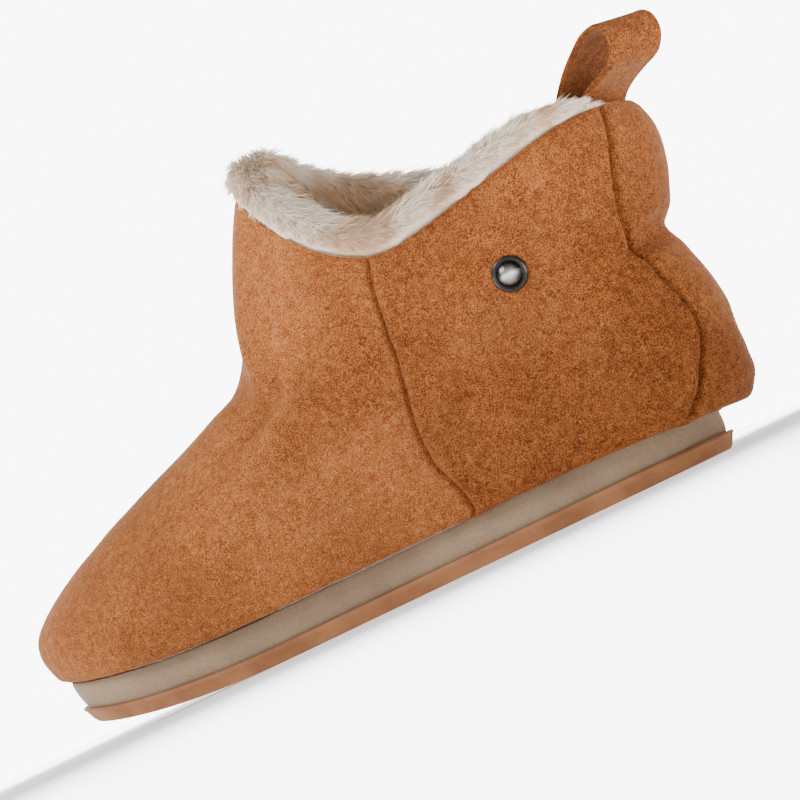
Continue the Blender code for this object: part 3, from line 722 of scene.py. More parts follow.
    def rings(self, places: Array, levels: Array) -> tuple[Array, Array, Array, Array, Array]:
        """Closed rings of the outer face: the lateral side front to back, then the medial side back to front.

        Args:
            places: rising u from 0 to 1 on one side.
            levels: one level for each ring.

        Returns:
            Points, outward normals, and the grids of u, level and side.
        """
        u = np.concatenate([places, places[-2:0:-1]])
        side = np.where(np.arange(len(u)) < len(places), -1.0, 1.0)
        u, level = np.meshgrid(u, levels)
        side = side[None, :] + 0 * u
        points = self.shell(u, level, side)
        low = self.shell(u, np.clip(level - 0.002, 0, 1), side)
        high = self.shell(u, np.clip(level + 0.002, 0, 1), side)
        round_ring = np.roll(points, -1, 1) - np.roll(points, 1, 1)
        return points, unit(np.cross(round_ring, high - low)), u, level, side


LAST = Last()


def world_shift() -> Array:
    """The step from the last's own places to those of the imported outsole.

    Returns:
        Three numbers to add to each point.
    """
    low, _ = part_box("outsole")
    near, _ = LAST.sole_sides(0.0, 400)
    return np.array([low[0] - near[:, 0].min(), low[1] - near[:, 1].min(), 0.0])


SHIFT = world_shift()


def add_piece(
    name: str,
    points: Array,
    faces: Array | list,
    finish: Finish,
    values: dict[str, Array] | None = None,
    sharp: float = 45.0,
) -> Piece:
    """Makes one mesh object in its place, riding on the shoe's one body.

    Args:
        name: the piece's name.
        points: its points, in the last's own places.
        faces: point numbers of each face.
        finish: what it is made of.
        values: numbers for each point that the finish reads, by name.
        sharp: degrees past which an edge is drawn sharp.

    Returns:
        The new object.
    """
    mesh = bpy.data.meshes.new(name)
    placed = np.ascontiguousarray(points.reshape(-1, 3) + SHIFT, dtype=np.float32)
    mesh.from_pydata(placed, [], faces.tolist() if isinstance(faces, np.ndarray) else faces)
    for key, numbers in (values or {}).items():
        layer = mesh.attributes.new(key, "FLOAT", "POINT")
        layer.data.foreach_set("value", np.ascontiguousarray(numbers, dtype=np.float32).ravel())
    mesh.shade_smooth()
    mesh.set_sharp_from_angle(angle=np.radians(sharp))
    mesh.materials.append(finish.material())
    made = bpy.data.objects.new(name, mesh)
    bpy.context.scene.collection.objects.link(made)
    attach(made, "root")
    log.info("%s: %d faces", name, len(mesh.polygons))
    return made


def fleece_values(rings: Array) -> dict[str, Array]:
    """What the pile's finish reads on short fleece: a little tan everywhere, and no painted shade at the
    roots.
    """
    return {"tan": 0.10 + 0 * rings[..., 0], "depth": 0 * rings[..., 0]}


# Upper


@dataclass(frozen=True)
class Crease:
    """A soft trough, or a ridge where its depth is below 0, along a path seen from the side.

    path holds (along, up) from the toe's tip and the floor. The depth fades at both ends.
    """

    side: Side
    depth: float
    width: float
    path: tuple[tuple[float, float], ...]

    def relief(self, points: Array, side: Array) -> Array:
        """Depth times a hump of the distance to the path, which is sampled on a smooth curve.

        Args:
            points: places on the outer face.
            side: the side of each.

        Returns:
            How far each place is pressed in.
        """
        corners = np.array(self.path)
        run = along_path(corners)
        at = np.linspace(0, run[-1], 28)
        line = np.stack([through(at, run, corners[:, 0]), through(at, run, corners[:, 1])], 1)
        apart = np.hypot(points[..., 0, None] - line[:, 0], points[..., 2, None] - line[:, 1])
        nearest = apart.argmin(-1)
        share = nearest / (len(at) - 1)
        fade = smooth(share / 0.3) * smooth((1 - share) / 0.3)
        on_side = 1.0 if self.side is Side.BOTH else (side * self.side.value > 0)
        return self.depth * hump(apart.min(-1), self.width) * fade * on_side


CREASES = (
    # The pinch across the throat, the fold beside it, and the ridge that it throws up behind it
    Crease(
        Side.BOTH, 0.0019, 0.0050,
        (
            (0.080, 0.1010), (0.098, 0.0985), (0.1090, 0.0965),
            (0.122, 0.0955), (0.134, 0.089),
        ),
    ),
    Crease(
        Side.LATERAL, 0.0021, 0.0034,
        (
            (0.1460, 0.1030), (0.1398, 0.0915), (0.1352, 0.0850),
            (0.1262, 0.0803), (0.1150, 0.0740),
        ),
    ),
    Crease(
        Side.LATERAL, -0.0023, 0.0046,
        (
            (0.1540, 0.1160), (0.1480, 0.1030), (0.1430, 0.0930), (0.1385, 0.0828),
            (0.1295, 0.0760), (0.1180, 0.0695), (0.1040, 0.0640),
        ),
    ),
    Crease(
        Side.LATERAL, 0.0014, 0.0065,
        (
            (0.158, 0.108), (0.1535, 0.096), (0.146, 0.080),
            (0.134, 0.067), (0.120, 0.060),
        ),
    ),
    Crease(Side.LATERAL, 0.0007, 0.0020, ((0.143, 0.0865), (0.1465, 0.0845), (0.152, 0.083))),
    Crease(Side.MEDIAL, 0.0020, 0.0060, ((0.136, 0.106), (0.131, 0.095), (0.122, 0.083), (0.106, 0.075))),
    Crease(Side.MEDIAL, -0.0013, 0.0060, ((0.150, 0.104), (0.143, 0.090), (0.133, 0.078), (0.116, 0.068))),
    Crease(Side.MEDIAL, 0.0010, 0.0070, ((0.160, 0.100), (0.153, 0.086), (0.142, 0.072))),
    # Pulled in beside the vamp seam
    Crease(Side.BOTH, 0.0010, 0.0060, ((0.168, 0.108), (0.174, 0.092), (0.173, 0.078), (0.177, 0.066))),
    Crease(Side.LATERAL, -0.0006, 0.0050, ((0.160, 0.092), (0.164, 0.080), (0.166, 0.064))),
    # A short nip in the toe, and the vamp's broad hollow above the welt
    Crease(
        Side.LATERAL, 0.0008, 0.0014,
        (
            (0.0075, 0.0440), (0.0035, 0.0375),
            (0.0030, 0.0310), (0.0060, 0.0260),
        ),
    ),
    Crease(Side.LATERAL, 0.0012, 0.0110, ((0.060, 0.044), (0.085, 0.038), (0.112, 0.036))),
    Crease(Side.MEDIAL, 0.0010, 0.0110, ((0.070, 0.040), (0.100, 0.036), (0.130, 0.036))),
    # Drag lines over the quarter
    Crease(Side.BOTH, 0.0009, 0.0100, ((0.195, 0.062), (0.218, 0.050), (0.246, 0.046))),
    Crease(Side.BOTH, -0.0006, 0.0090, ((0.200, 0.084), (0.216, 0.068), (0.238, 0.060))),
    # The counter: a fold under its top roll, and a soft ridge and hollow beside its seam
    Crease(
        Side.BOTH, 0.0034, 0.0038,
        (
            (0.296, 0.0830), (0.2813, 0.0796), (0.2765, 0.0771),
            (0.2699, 0.0748), (0.262, 0.0735),
        ),
    ),
    Crease(
        Side.BOTH, -0.0018, 0.0050,
        (
            (0.2680, 0.0765), (0.2730, 0.0715), (0.2775, 0.0640),
            (0.2820, 0.0480), (0.2835, 0.0350),
        ),
    ),
    Crease(Side.BOTH, 0.0007, 0.0035, ((0.2690, 0.0720), (0.2740, 0.0580), (0.2770, 0.0450))),
)


@dataclass(frozen=True)
class Upper:
    """The suede wall with its closed seams, its folds and its turned edges, and the fleece behind it."""

    wall: float = 0.0030
    suede_thick: float = 0.0016
    lining_gap: float = 0.0002
    hem: float = 0.0014  # how far the fleece stops above the suede's lower edge along the sides
    side_steps: int = 112
    rows: int = 150
    seam_depth: float = 0.0017
    seam_width: float = 0.0009
    seam_shoulder: float = 0.0005
    seam_step: float = 0.0005
    edge_turn: float = 0.0012
    sag: float = 0.0005
    sag_cell: float = 0.034
    fold_shade: float = 170.0  # painted shade: how much flatter and darker the nap is drawn for each metre pressed in, and lighter, as painted highlight, for each metre raised
    pucker: float = 0.00022
    pucker_cell: float = 0.007
    fleece: float = 0.0006
    fleece_cell: float = 0.0022

    def side_places(self) -> Array:
        """Places round a side, front to back, crowded by ever smaller steps towards both seams."""
        even = np.linspace(0, 1, self.side_steps + 1)
        seams = np.array([LAST.vamp_line, LAST.back_line])
        off = np.array([0, 0.0012, 0.0024, 0.0038, 0.0055, 0.0080, 0.0115, 0.0160])
        off = np.concatenate([-off[:0:-1], off])
        clear = (np.abs(even[:, None] - seams) > 0.0185).all(1)
        return np.sort(np.concatenate([even[clear], (seams[:, None] + off).ravel()]))

    def folds(self, points: Array, level: Array, side: Array) -> Array:
        """How far the whole wall, suede and fleece, stands out: the sag less the creases.

        Args:
            points: places on the plain outer face.
            level: their levels.
            side: their sides.

        Returns:
            Distances along the outward normals.
        """
        out = self.sag * random_field(points, self.sag_cell, 1) * smooth(level / 0.08)
        for crease in CREASES:
            out -= crease.relief(points, side)
        return out

    def relief(self, points: Array, u: Array, level: Array, side: Array) -> Array:
        """How far the suede's face alone stands out: seams with their puckers, and the turned edges.

        A seam is a narrow trough, e^-(d/w)^2 deep, between two soft shoulders, and the panel behind it
        stands a step prouder. d is the distance from the seam's line, from the grid's own spacing.

        Args:
            points: places on the plain outer face.
            u: their places round the side.
            level: their levels.
            side: their sides.

        Returns:
            Distances along the outward normals.
        """
        spacing = np.linalg.norm(np.roll(points, -1, 1) - np.roll(points, 1, 1), axis=2)
        per_u = spacing / np.maximum(np.abs(np.roll(u, -1, 1) - np.roll(u, 1, 1)), 1e-9)
        per_u = np.clip(per_u, 0, np.percentile(per_u, 97, axis=1, keepdims=True))
        out = np.zeros_like(u)
        for line in (LAST.vamp_line, LAST.back_line):
            apart = (u - line) * per_u
            out -= self.seam_depth * hump(apart, self.seam_width)
            out += self.seam_shoulder * hump(np.abs(apart) - 0.0030, 0.0020)
            out += self.seam_step * (apart > 0) * smooth(apart / 0.0009) * hump(apart, 0.0080)
            puckers = random_field(np.stack([points[..., 2], 0 * u, side + line], -1), self.pucker_cell, 5)
            out += self.pucker * puckers * hump(apart, 0.0060)
        out += self.pucker * random_field(points, 0.013, 2) * smooth(level / 0.08)
        top = np.linalg.norm(points - points[-1:], axis=2)
        out -= self.edge_turn * 0.6 * hump(top, 0.0014)
        low = np.linalg.norm(points - points[:1], axis=2)
        out -= self.edge_turn * 0.6 * hump(low, 0.0013)
        return out

    def flat_nap_and_shade(self, u: Array, level: Array, side: Array, points: Array) -> Array:
        """How flat the nap lies, with painted shade and highlight: up on the vamp, down on the quarter and
        the counter, darker as painted shade in troughs and high on the heel, lighter as painted highlight on
        ridges.

        Soft clouds are added, as a hand leaves them.

        Args:
            u: places round the side.
            level: places up the wall.
            side: sides of the shoe.
            points: places on the outer face.

        Returns:
            0 where the nap stands up to 1 where it is flat, with painted shade and highlight added.
        """
        behind = smooth((u - LAST.vamp_line) / 0.012 + 0.5)
        clouds = 0.22 * random_field(points, 0.024, 14) + 0.12 * random_field(points, 0.009, 15)
        shaft = smooth((u - 0.31 - 0.05 * level) / 0.09) * smooth((level - 0.30) / 0.2) * (1 - behind)
        # painted shade in troughs and painted highlight on ridges, by how far the wall is pressed in
        worn = -self.fold_shade * self.folds(points, level, side)
        # painted shade high on the heel
        heel = 0.25 * smooth((u - 0.84) / 0.08) * smooth((level - 0.25) / 0.2)
        return np.clip(0.08 + 0.74 * behind + 0.62 * shaft + heel + clouds + worn, 0, 1)

    def layer(self, places: Array, levels: Array, inwards: float) -> tuple[Array, Array]:
        """The folded wall's face at a depth from its outer face.

        Args:
            places: rising u from 0 to 1 on one side.
            levels: one level for each ring.
            inwards: the depth.

        Returns:
            Points and outward normals.
        """
        points, normals, _, level, side = LAST.rings(places, levels)
        stand = self.folds(points, level, side) - inwards
        return points + stand[:, :, None] * normals, normals

    def build(self) -> list[Piece]:
        """Makes the suede wall and the fleece lining, each a closed shell.

        Returns:
            The two pieces.
        """
        low = np.array([0, 0.004, 0.010, 0.018])
        high = np.array([0.985, 0.991, 0.996, 1.0])
        levels = np.concatenate([low, np.linspace(0.028, 0.978, self.rows - 8), high])
        places = self.side_places()
        points, normals, u, level, side = LAST.rings(places, levels)
        stand = self.folds(points, level, side) + self.relief(points, u, level, side)
        outer = points + stand[:, :, None] * normals
        inner, _ = self.layer(places, np.linspace(1, 0, 60), self.suede_thick)
        rings = np.concatenate([outer, inner])
        values = {"flat_nap_and_shade": np.concatenate([self.flat_nap_and_shade(u, level, side, points), 0.5 + 0 * inner[..., 0]])}
        suede = add_piece("upper_suede", rings, ring_faces(*rings.shape[:2], wrap_rows=True), SUEDE, values)
        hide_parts("upper")

        plain = np.linspace(0, 1, 121)
        down = np.concatenate([np.linspace(0.99, 0.05, 64), np.linspace(0.04, 0.006, 10)])
        inside, normals = self.layer(plain, down, self.wall - self.fleece)
        nap = self.fleece * random_field(inside, self.fleece_cell, 3)
        inside = inside - nap[:, :, None] * normals
        outside, _ = self.layer(plain, down[::-1], self.suede_thick + self.lining_gap)
        rings = np.concatenate([outside, inside])
        around = np.concatenate([plain, plain[-2:0:-1]])
        low = 1 - smooth(np.concatenate([down[::-1], down]) / 0.04)
        rings[..., 2] += self.hem * low[:, None] * (1 - smooth((around - 0.84) / 0.08))
        faces = ring_faces(*rings.shape[:2], wrap_rows=True)
        lining = add_piece("lining", rings, faces, FUR, fleece_values(rings))
        return [suede, lining]


# Sole layers


@dataclass(frozen=True)
class Band:
    """The foam midsole in its microfibre band, slightly rounded between the lip and the upper."""

    base: float = 0.0058
    height: float = 0.0111
    lip: float = 0.0016
    rounding: float = 0.0009
    toe_flare: float = 0.0025
    stations: int = 260
    rows: int = 20
    waver: float = 0.00018
    waver_cell: float = 0.016

    def build(self) -> Piece:
        """Rings of the sole's plan stacked with a sine bulge, wavering a little as glued cloth does.

        Returns:
            The band's piece.
        """
        rings = []
        for share in np.linspace(0, 1, self.rows):
            inset = self.lip + self.rounding * (1 - np.sin(np.pi * share) ** 0.6)
            near, far = LAST.sole_sides(inset, self.stations)
            plan = np.concatenate([near, far[-2:0:-1]])
            to_toe = smooth(1 - plan[:, 0] / (LAST.sole_length * LAST.spring_start))
            x = plan[:, 0] - self.toe_flare * share * to_toe
            z = LAST.toe_lift(plan[:, 0]) + self.base + share * self.height
            rings.append(np.column_stack([x, plan[:, 1], z]))
        grid = np.array(rings)
        outward = unit(np.cross(np.roll(grid, -1, 1) - np.roll(grid, 1, 1), [0, 0, 1.0]))
        grid = grid + self.waver * random_field(grid, self.waver_cell, 8)[:, :, None] * outward
        band = add_piece("midsole_band", grid, tube_faces(*grid.shape[:2]), BAND)
        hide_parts("midsole")
        return band


@dataclass(frozen=True)
class Outsole:
    """The moulded sole: a lip over a slanting side with fine diagonal ribs, a rim and a sunk tread field."""

    thick: float = 0.006
    slant: float = 0.0028
    lip: float = 0.0016
    rim: float = 0.0065
    tread_depth: float = 0.0013
    margin: float = 0.003
    lug_width: float = 0.0042
    lug_turn: float = 0.489
    toe_rows: tuple[float, ...] = (0.075, 0.105, 0.135)
    fore_rows: tuple[float, ...] = (0.175, 0.210, 0.245, 0.280, 0.400, 0.435)
    fore_lanes: int = 4
    heel_rows: tuple[float, ...] = (0.815, 0.850, 0.885, 0.920)
    heel_lanes: tuple[float, ...] = (0.27, 0.73)
    plates: tuple[tuple[float, float, float, float], ...] = (
        # along, across, length and width, as shares of the sole's length or of the ball's width
        (0.340, 0.045, 0.070, 0.400),
        (0.610, 0.010, 0.270, 0.270),
    )
    ball_width: float = 0.097
    soft_edge: float = 0.0005
    rib_pitch: float = 0.0017
    rib_depth: float = 0.00028
    stations: int = 440
    across: int = 122
    side_rows: int = 17

    def bars(self) -> list[tuple[float, float, float, float, float, float]]:
        """The tread's bars: along, across, length, width, turn and bend of each."""
        length = LAST.sole_length
        inset = self.slant + self.rim + self.margin

        def field_at(row: float) -> tuple[float, float]:
            """Lateral and medial limit of the tread field at a share of the length."""
            lateral, medial = LAST.half_widths(np.array(row))
            middle = LAST.middle_line(np.array(row))
            rounding = LAST.closing(np.array(row * length), 0, length)
            return float(middle - lateral * rounding + inset), float(middle + medial * rounding - inset)

        bars = []
        wide = self.lug_width
        for row in self.toe_rows:
            low, high = field_at(row)
            bars.append((row * length, (low + high) / 2, (high - low) * 0.8, wide, 0.0, -wide * 1.2))
        for row in self.fore_rows:
            low, high = field_at(row)
            for lane in range(self.fore_lanes):
                across = low + (high - low) * (lane + 0.5) / self.fore_lanes
                size = (high - low) / self.fore_lanes * 0.76
                bars.append((row * length, across, size, wide, self.lug_turn, wide * 0.5))
        for row in self.heel_rows:
            low, high = field_at(row)
            for lane in self.heel_lanes:
                across = low + (high - low) * lane
                bars.append((row * length, across, (high - low) * 0.36, wide, 0.0, 0.0))
        return bars

    def tread(self, x: Array, y: Array, edge: Array) -> Array:
        """Height of the underside above the sole's lowest face.

        The field is sunk by the tread's depth. A bar, a plate or the rim raises it again with a soft edge:
        each is a signed distance, turned to a share over half a millimetre, and the largest share counts.

        Args:
            x: places along the sole.
            y: places across it.
            edge: distance of each from the sole's edge.

        Returns:
            0 on the bars and the rim, the tread's depth between them.
        """
        soft = self.soft_edge
        raised = smooth((self.rim + self.slant - edge) / soft)
        for along, across, length, width, turn, bend in self.bars():
            c, s = np.cos(turn), np.sin(turn)
            forward = (x - along) * c + (y - across) * s
            beside = -(x - along) * s + (y - across) * c
            forward = forward - bend * (1 - np.abs(beside) * 2 / length)
            wave = 0.00035 * np.sin(beside / 0.0016)
            inside = np.minimum(width / 2 - np.abs(forward + wave), length / 2 - np.abs(beside))
            mark = 0.35 * hump(np.abs(forward) - 0.0009, 0.0003) * (inside > 0.0008)
            raised = np.maximum(raised, smooth(inside / soft) - mark)
        for along, across, length, width in self.plates:
            far = np.hypot(
                (x - along * LAST.sole_length) / (length * LAST.sole_length / 2),
                (y - across * self.ball_width) / (width * self.ball_width / 2),
            )
            inside = (1 - far) * width * self.ball_width / 2
            groove = 0.4 * hump(inside - 0.0016, 0.0004)
            raised = np.maximum(raised, smooth(inside / soft) - groove)
        dash = 0.5 + 0.5 * np.sign(np.sin(x / 0.00055))
        line = hump(edge - self.slant - self.rim * 0.72, 0.00035)
        return self.tread_depth * (1 - raised) + 0.0004 * line * dash

    def build(self) -> Piece:
        """Makes the sole as closed rings across it: underside, medial side, top and lateral side.

        The side's ribs are a sine of the height and the length along the edge, in a proportion that turns
        them from shallow at the toe to half upright at the heel.

        Returns:
            The outsole's piece.
        """
        plan = LAST.sole_sides(0.0, self.stations)
        run = [along_path(side) for side in plan]
        walls: list[list[Array]] = [[], []]
        for share in np.linspace(0, 1, self.side_rows):
            under_lip = np.clip(share / 0.74, 0, 1)
            inset = self.slant + (self.lip * 0.4 - self.slant) * under_lip if share < 0.78 else 0.0
            rounded = 0.0006 * (hump(np.array(share), 0.10) + hump(np.array(1 - share), 0.06))
            ribbed = float(smooth(np.array(share / 0.08)) * smooth(np.array((0.76 - share) / 0.06)))
            height = share * self.thick
            for index in (0, 1):
                lean = 0.22 + 0.5 * smooth(plan[index][:, 0] / LAST.sole_length)
                phase = 2 * np.pi * (height + run[index] * lean) / self.rib_pitch
                rib = self.rib_depth * ribbed * (0.5 + 0.5 * np.sin(phase))
                whole = np.concatenate([rib, rib[-2:0:-1]]) + inset + float(rounded)
                side = LAST.sole_sides(whole, self.stations)[index]
                walls[index].append(np.column_stack([side, LAST.toe_lift(side[:, 0]) + height]))
        lateral, medial = np.array(walls[0]), np.array(walls[1])
        v = np.linspace(0, 1, self.across)[1:-1, None, None]
        floor = lateral[0] + (medial[0] - lateral[0]) * v
        near = np.minimum(v[..., 0], 1 - v[..., 0]) * np.linalg.norm(medial[0] - lateral[0], axis=1)
        ends = np.minimum(floor[..., 0], LAST.sole_length - floor[..., 0])
        edge = np.minimum(near, ends) + self.slant
        floor[..., 2] += self.tread(floor[..., 0], floor[..., 1], edge)
        top = lateral[-1] + (medial[-1] - lateral[-1]) * np.linspace(1, 0, 5)[1:-1, None, None]
        rings = np.concatenate([floor, medial, top, lateral[::-1]]).transpose(1, 0, 2)
        sole = add_piece("outsole_rubber", rings, tube_faces(*rings.shape[:2]), RUBBER, sharp=38)
        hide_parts("outsole")
        return sole


@dataclass(frozen=True)
class Insole:
    """The sock: a slab whose top is short curly fleece, hollowed a little under heel and ball."""

    inset: float = 0.0040
    base: float = 0.0168
    thick: float = 0.005
    stations: int = 220
    across: int = 60
    nap: float = 0.0006
    nap_cell: float = 0.0024
    hollow: float = 0.0010

    def build(self) -> Piece:
        """Closed rings across the foot: a flat underside and a top with hollows and a random nap.

        Returns:
            The insole's piece.
        """
        near, far = LAST.sole_sides(self.inset, self.stations)
        v = np.linspace(0, 1, self.across)[:, None]
        plan = near[None] + (far - near)[None] * v[..., None]
        lift = LAST.toe_lift(plan[..., 0]) + self.base
        low = np.concatenate([plan[::-1], lift[::-1, :, None]], 2)[:: self.across - 1]
        side = np.minimum(v, 1 - v) * np.linalg.norm(far - near, axis=1)
        crown = self.thick * smooth(side / 0.004) ** 0.5
        dips = self.hollow * (hump(plan[..., 0] - 0.225, 0.028) + hump(plan[..., 0] - 0.085, 0.034))
        top = np.concatenate([plan, (lift + np.maximum(crown - dips, 0.0008))[..., None]], 2)
        top[..., 2] += self.nap * random_field(top, self.nap_cell, 11) * smooth(side / 0.003)
        rings = np.concatenate([low, top]).transpose(1, 0, 2)[::-1]
        sock = add_piece("insole_fleece", rings, tube_faces(*rings.shape[:2]), FUR, fleece_values(rings))
        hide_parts("insole")
        return sock


# Fur collar

# The roll in section, from its foot inside the wall, over the rim and down the inside. level is the place up
# the wall, out the place across (0 the wall's inner face, 1 the lip, -1 the full thickness inwards) and rise
# the share of the pile's height.
PILE_PROFILE = (
    (0.73, 0.00, 0.00),
    (0.80, 0.00, 0.00),
    (0.87, 0.00, 0.00),
    (0.94, 0.00, 0.00),
    (1.00, 0.00, 0.00),
    (1.00, 0.06, 0.07),
    (1.00, 0.60, 0.10),
    (1.00, 1.00, 0.20),
    (1.00, 1.05, 0.60),
    (1.00, 0.60, 0.92),
    (1.00, -0.25, 1.05),
    (1.00, -0.80, 0.90),
    (1.00, -1.10, 0.45),
    (1.00, -1.20, 0.00),
    (0.92, -1.20, 0.00),
    (0.84, -1.05, 0.00),
    (0.77, -0.75, 0.00),
)


@dataclass(frozen=True)
class FurCollar:
    """The pile round the collar: a soft roll, and tapered locks and hairs that grow from it."""

    top: float = 0.013
    front: float = 0.002
    thick: float = 0.012
    lip: float = 0.002
    gap: float = 0.0008
    wall: float = 0.003
    spine: float = 0.030
    back_share: float = 0.02
    fade: float = 0.62
    fade_reach: float = 0.29
    rim_rise: float = 0.15
    core: float = 0.80  # share of the CAD roll's size that the felted core fills; the hairs fill the rest
    hairs: int = 114000
    hair_length: float = 0.0078
    hair_width: float = 0.00032
    clump: float = 0.0042  # size of a lock
    patch: float = 0.013  # size of a tan patch

    def roll(self, places: Array, rows: Array, size: float) -> tuple[Array, Array]:
        """The roll's surface, as rings round the collar.

        Each row of the profile starts on the shell at its level and is moved out along the wall's normal,
        in towards the collar's spine and up along the wall, all shrunk by size and by the fading of the
        pile behind.

        Args:
            places: rising u from 0 to 1 on one side.
            rows: places in the profile, 0 to the number of its rows less one.
            size: share of the full roll.

        Returns:
            Points, and the fading at each column.
        """
        index = np.arange(len(PILE_PROFILE))
        levels, out, rise = (through(rows, index, column) for column in zip(*PILE_PROFILE))
        levels = np.clip(levels, 0, 1)
        points, normals, u, _, side = LAST.rings(places, levels)
        upward = unit(points - LAST.rings(places, levels - 0.03)[0])
        x = points[:, :, 0]
        spine = np.clip(x, x.min(1, keepdims=True) + self.spine, x.max(1, keepdims=True) - self.spine)
        inward = unit(np.stack([spine - x, -points[:, :, 1], 0 * x], -1))
        full = 1 - (1 - self.back_share) * smooth((u - self.fade) / self.fade_reach)
        over_rim = (self.lip + self.wall + self.gap) * full
        out_by = np.clip(out, 0, None)[:, None] * over_rim * size - self.wall - self.gap * 0.2
        deep = np.clip(-out, 0, None)[:, None] * self.thick * size + 0 * u
        height = (self.top + self.front * smooth(1 - u / LAST.vamp_line)) * full
        rise = rise[:, None]
        rise_by = np.minimum(rise, self.rim_rise) * self.top * size
        rise_by = rise_by + np.clip(rise - self.rim_rise, 0, None) * height * size
        points = points + out_by[:, :, None] * normals
        points = points + deep[:, :, None] * inward
        return points + rise_by[:, :, None] * upward, full

    def tan_patches_and_inner_shade(self, points: Array, inner: Array) -> Array:
        """How tan the tips are: random patches, more tan towards the front, and most on the roll's inner face
        there as painted shade.
        """
        field_value = random_field(points, self.patch, 21) + 0.5 * random_field(points, self.patch * 0.45, 22)
        front = smooth((0.225 - points[..., 0]) / 0.05)
        # the inner face's front term is painted shade, over random tan patches
        return smooth((field_value - 0.16 + (0.80 * inner + 0.30) * front) / 0.62)

    def core_piece(self) -> Piece:
        """The felted core under the hairs: the shrunken roll with its surface roughened at random and
        darkened all over with painted shade.

        Returns:
            The core's piece.
        """
        rows = np.concatenate([np.arange(5), np.linspace(5, 16, 40)])
        points, _ = self.roll(np.linspace(0, 1, 141), rows, self.core)
        rough = 0.0010 * random_field(points, 0.0035, 31) + 0.0014 * random_field(points, 0.009, 32)
        visible = (rows > 6)[:, None]
        points[..., 2] += rough * visible
        inner = smooth((rows - 10) / 3)[:, None] + 0 * points[..., 0]
        # the core takes painted shade all over
        values = {"tan": 0.6 * self.tan_patches_and_inner_shade(points, inner), "depth": 0.45 + 0 * inner}
        core = add_piece("fur_core", points, ring_faces(*points.shape[:2], wrap_rows=True), FUR, values, 180)
        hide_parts("fur_collar")
        return core

    def hair_piece(self, name: str, count: int, seed: int, length: float, keep_inside: bool) -> Piece:
        """Many tapered ribbons on the roll, three steps long each, combed and drawn into locks.

        A hair starts on the core at a random place and bends from the core's normal towards the comb's
        direction, which lies down outwards over the rim in front and down inwards behind it. Its tip is
        pulled towards the middle of its lock. Its width falls to nothing at the tip.

        Args:
            name: the piece's name.
            count: how many hairs.
            seed: starts the random numbers.
            length: the hairs' mean length.
            keep_inside: whether the hairs grow only on the inner face.

        Returns:
            The piece.
        """
        rng = np.random.default_rng(seed)
        rows = np.linspace(9.5 if keep_inside else 7.3, 16, 46)
        places = np.linspace(0, 1, 161)
        grid, full = self.roll(places, rows, self.core)
        columns = grid.shape[1]
        across = np.roll(grid, -1, 1) - grid
        down = grid[1:] - grid[:-1]
        cells = np.linalg.norm(np.cross(across[:-1], down), axis=2) * (0.35 + 0.65 * full[:-1])
        weight = cells.ravel() / cells.sum()
        cell = rng.choice(len(weight), count, p=weight)
        r, c = np.divmod(cell, columns)
        s, t = rng.random((2, count))
        beside = (c + 1) % columns
        root = (
            grid[r, c] * ((1 - s) * (1 - t))[:, None]
            + grid[r, beside] * ((1 - s) * t)[:, None]
            + grid[r + 1, c] * (s * (1 - t))[:, None]
            + grid[r + 1, beside] * (s * t)[:, None]
        )
        normal = unit(np.cross(grid[r, beside] - grid[r, c], grid[r + 1, c] - grid[r, c]))
        over = unit(grid[r + 1, c] - grid[r, c])
        round_collar = unit(grid[r, beside] - grid[r, c])
        row = rows[r]
        middle = grid.mean((0, 1))
        outward = unit((root - middle) * [1, 1, 0])
        normal = normal * np.sign(np.sum(normal * (outward * (9.6 - row)[:, None] + [0, 0, 0.6]), 1))[:, None]
        lay = 0.3 * smooth((9.2 - row) / 2)[:, None] * -over + 0.6 * smooth((row - 9.8) / 2)[:, None] * over
        heelward = round_collar * np.sign(round_collar[:, :1])
        sway = random_field(root, 0.011, 41)[:, None] * round_collar
        comb = unit(lay + 0.35 * sway + 0.5 * heelward - [0, 0, 0.06])
        key = np.floor((root + 0.5) / self.clump).astype(np.int64)
        lock_random = random_field(key * 3.7, 1.0, 51)
        lock_middle = (key + 0.5) * self.clump - 0.5
        lock_middle = lock_middle + (rng.random((count, 3)) - 0.5) * 0.0009
        long = length * (0.75 + 0.5 * rng.random(count)) * (0.04 + 0.96 * full[r, c] ** 0.7)
        long = long * (1 + 0.2 * lock_random)
        long = long * (0.5 + 0.5 * smooth((row - 7.3) / 1.4))
        tan = self.tan_patches_and_inner_shade(root, smooth((row - 10) / 3))
        steps = np.array([0.0, 0.34, 0.68, 1.0])
        jitter = rng.normal(0, 0.11, (count, 3))
        start = unit(0.8 * normal + 0.5 * comb + jitter)
        end = unit(0.15 * normal + 1.0 * comb + 1.2 * jitter)
        line = [root + long[:, None] * (start * (h - 0.55 * h * h) + end * 0.62 * h * h) for h in steps]
        pull = [(lock_middle - root) * 0.5 * h**1.3 for h in steps]
        line = [at + toward - normal * 0.0004 for at, toward in zip(line, pull)]
        wide = unit(np.cross(line[3] - line[0], normal + 0.8 * rng.normal(0, 1, (count, 3))))
        wide = wide * (self.hair_width * (0.7 + 0.6 * rng.random(count)))[:, None] / 2
        points, depth, tans = [], [], []
        for at, share, h in zip(line, (1.0, 0.92, 0.6), steps):
            points += [at - wide * share, at + wide * share]
            # painted shade at the roots, fading out by the hair's middle
            depth += [np.clip(0.5 - 1.0 * h, 0, 1) + 0 * s] * 2
            tans += [tan * (0.25 + 0.75 * h)] * 2
        points.append(line[3])
        depth.append(0 * s)
        tans.append(tan)
        bright = 0.16 * rng.random(count)
        grid_points = np.stack(points, 1)
        first = np.arange(count)[:, None] * 7
        quads = np.concatenate([first + [0, 1, 3, 2], first + [2, 3, 5, 4]])
        tips = first + [4, 5, 6]
        values = {
            "tan": np.clip(np.stack(tans, 1) + bright[:, None], 0, 1),
            "depth": np.clip(np.stack(depth, 1) + 0.5 * bright[:, None], 0, 1),
        }
        piece = add_piece(name, grid_points, quads.tolist() + tips.tolist(), FUR, values, 180)
        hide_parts("fur_collar")
        return piece

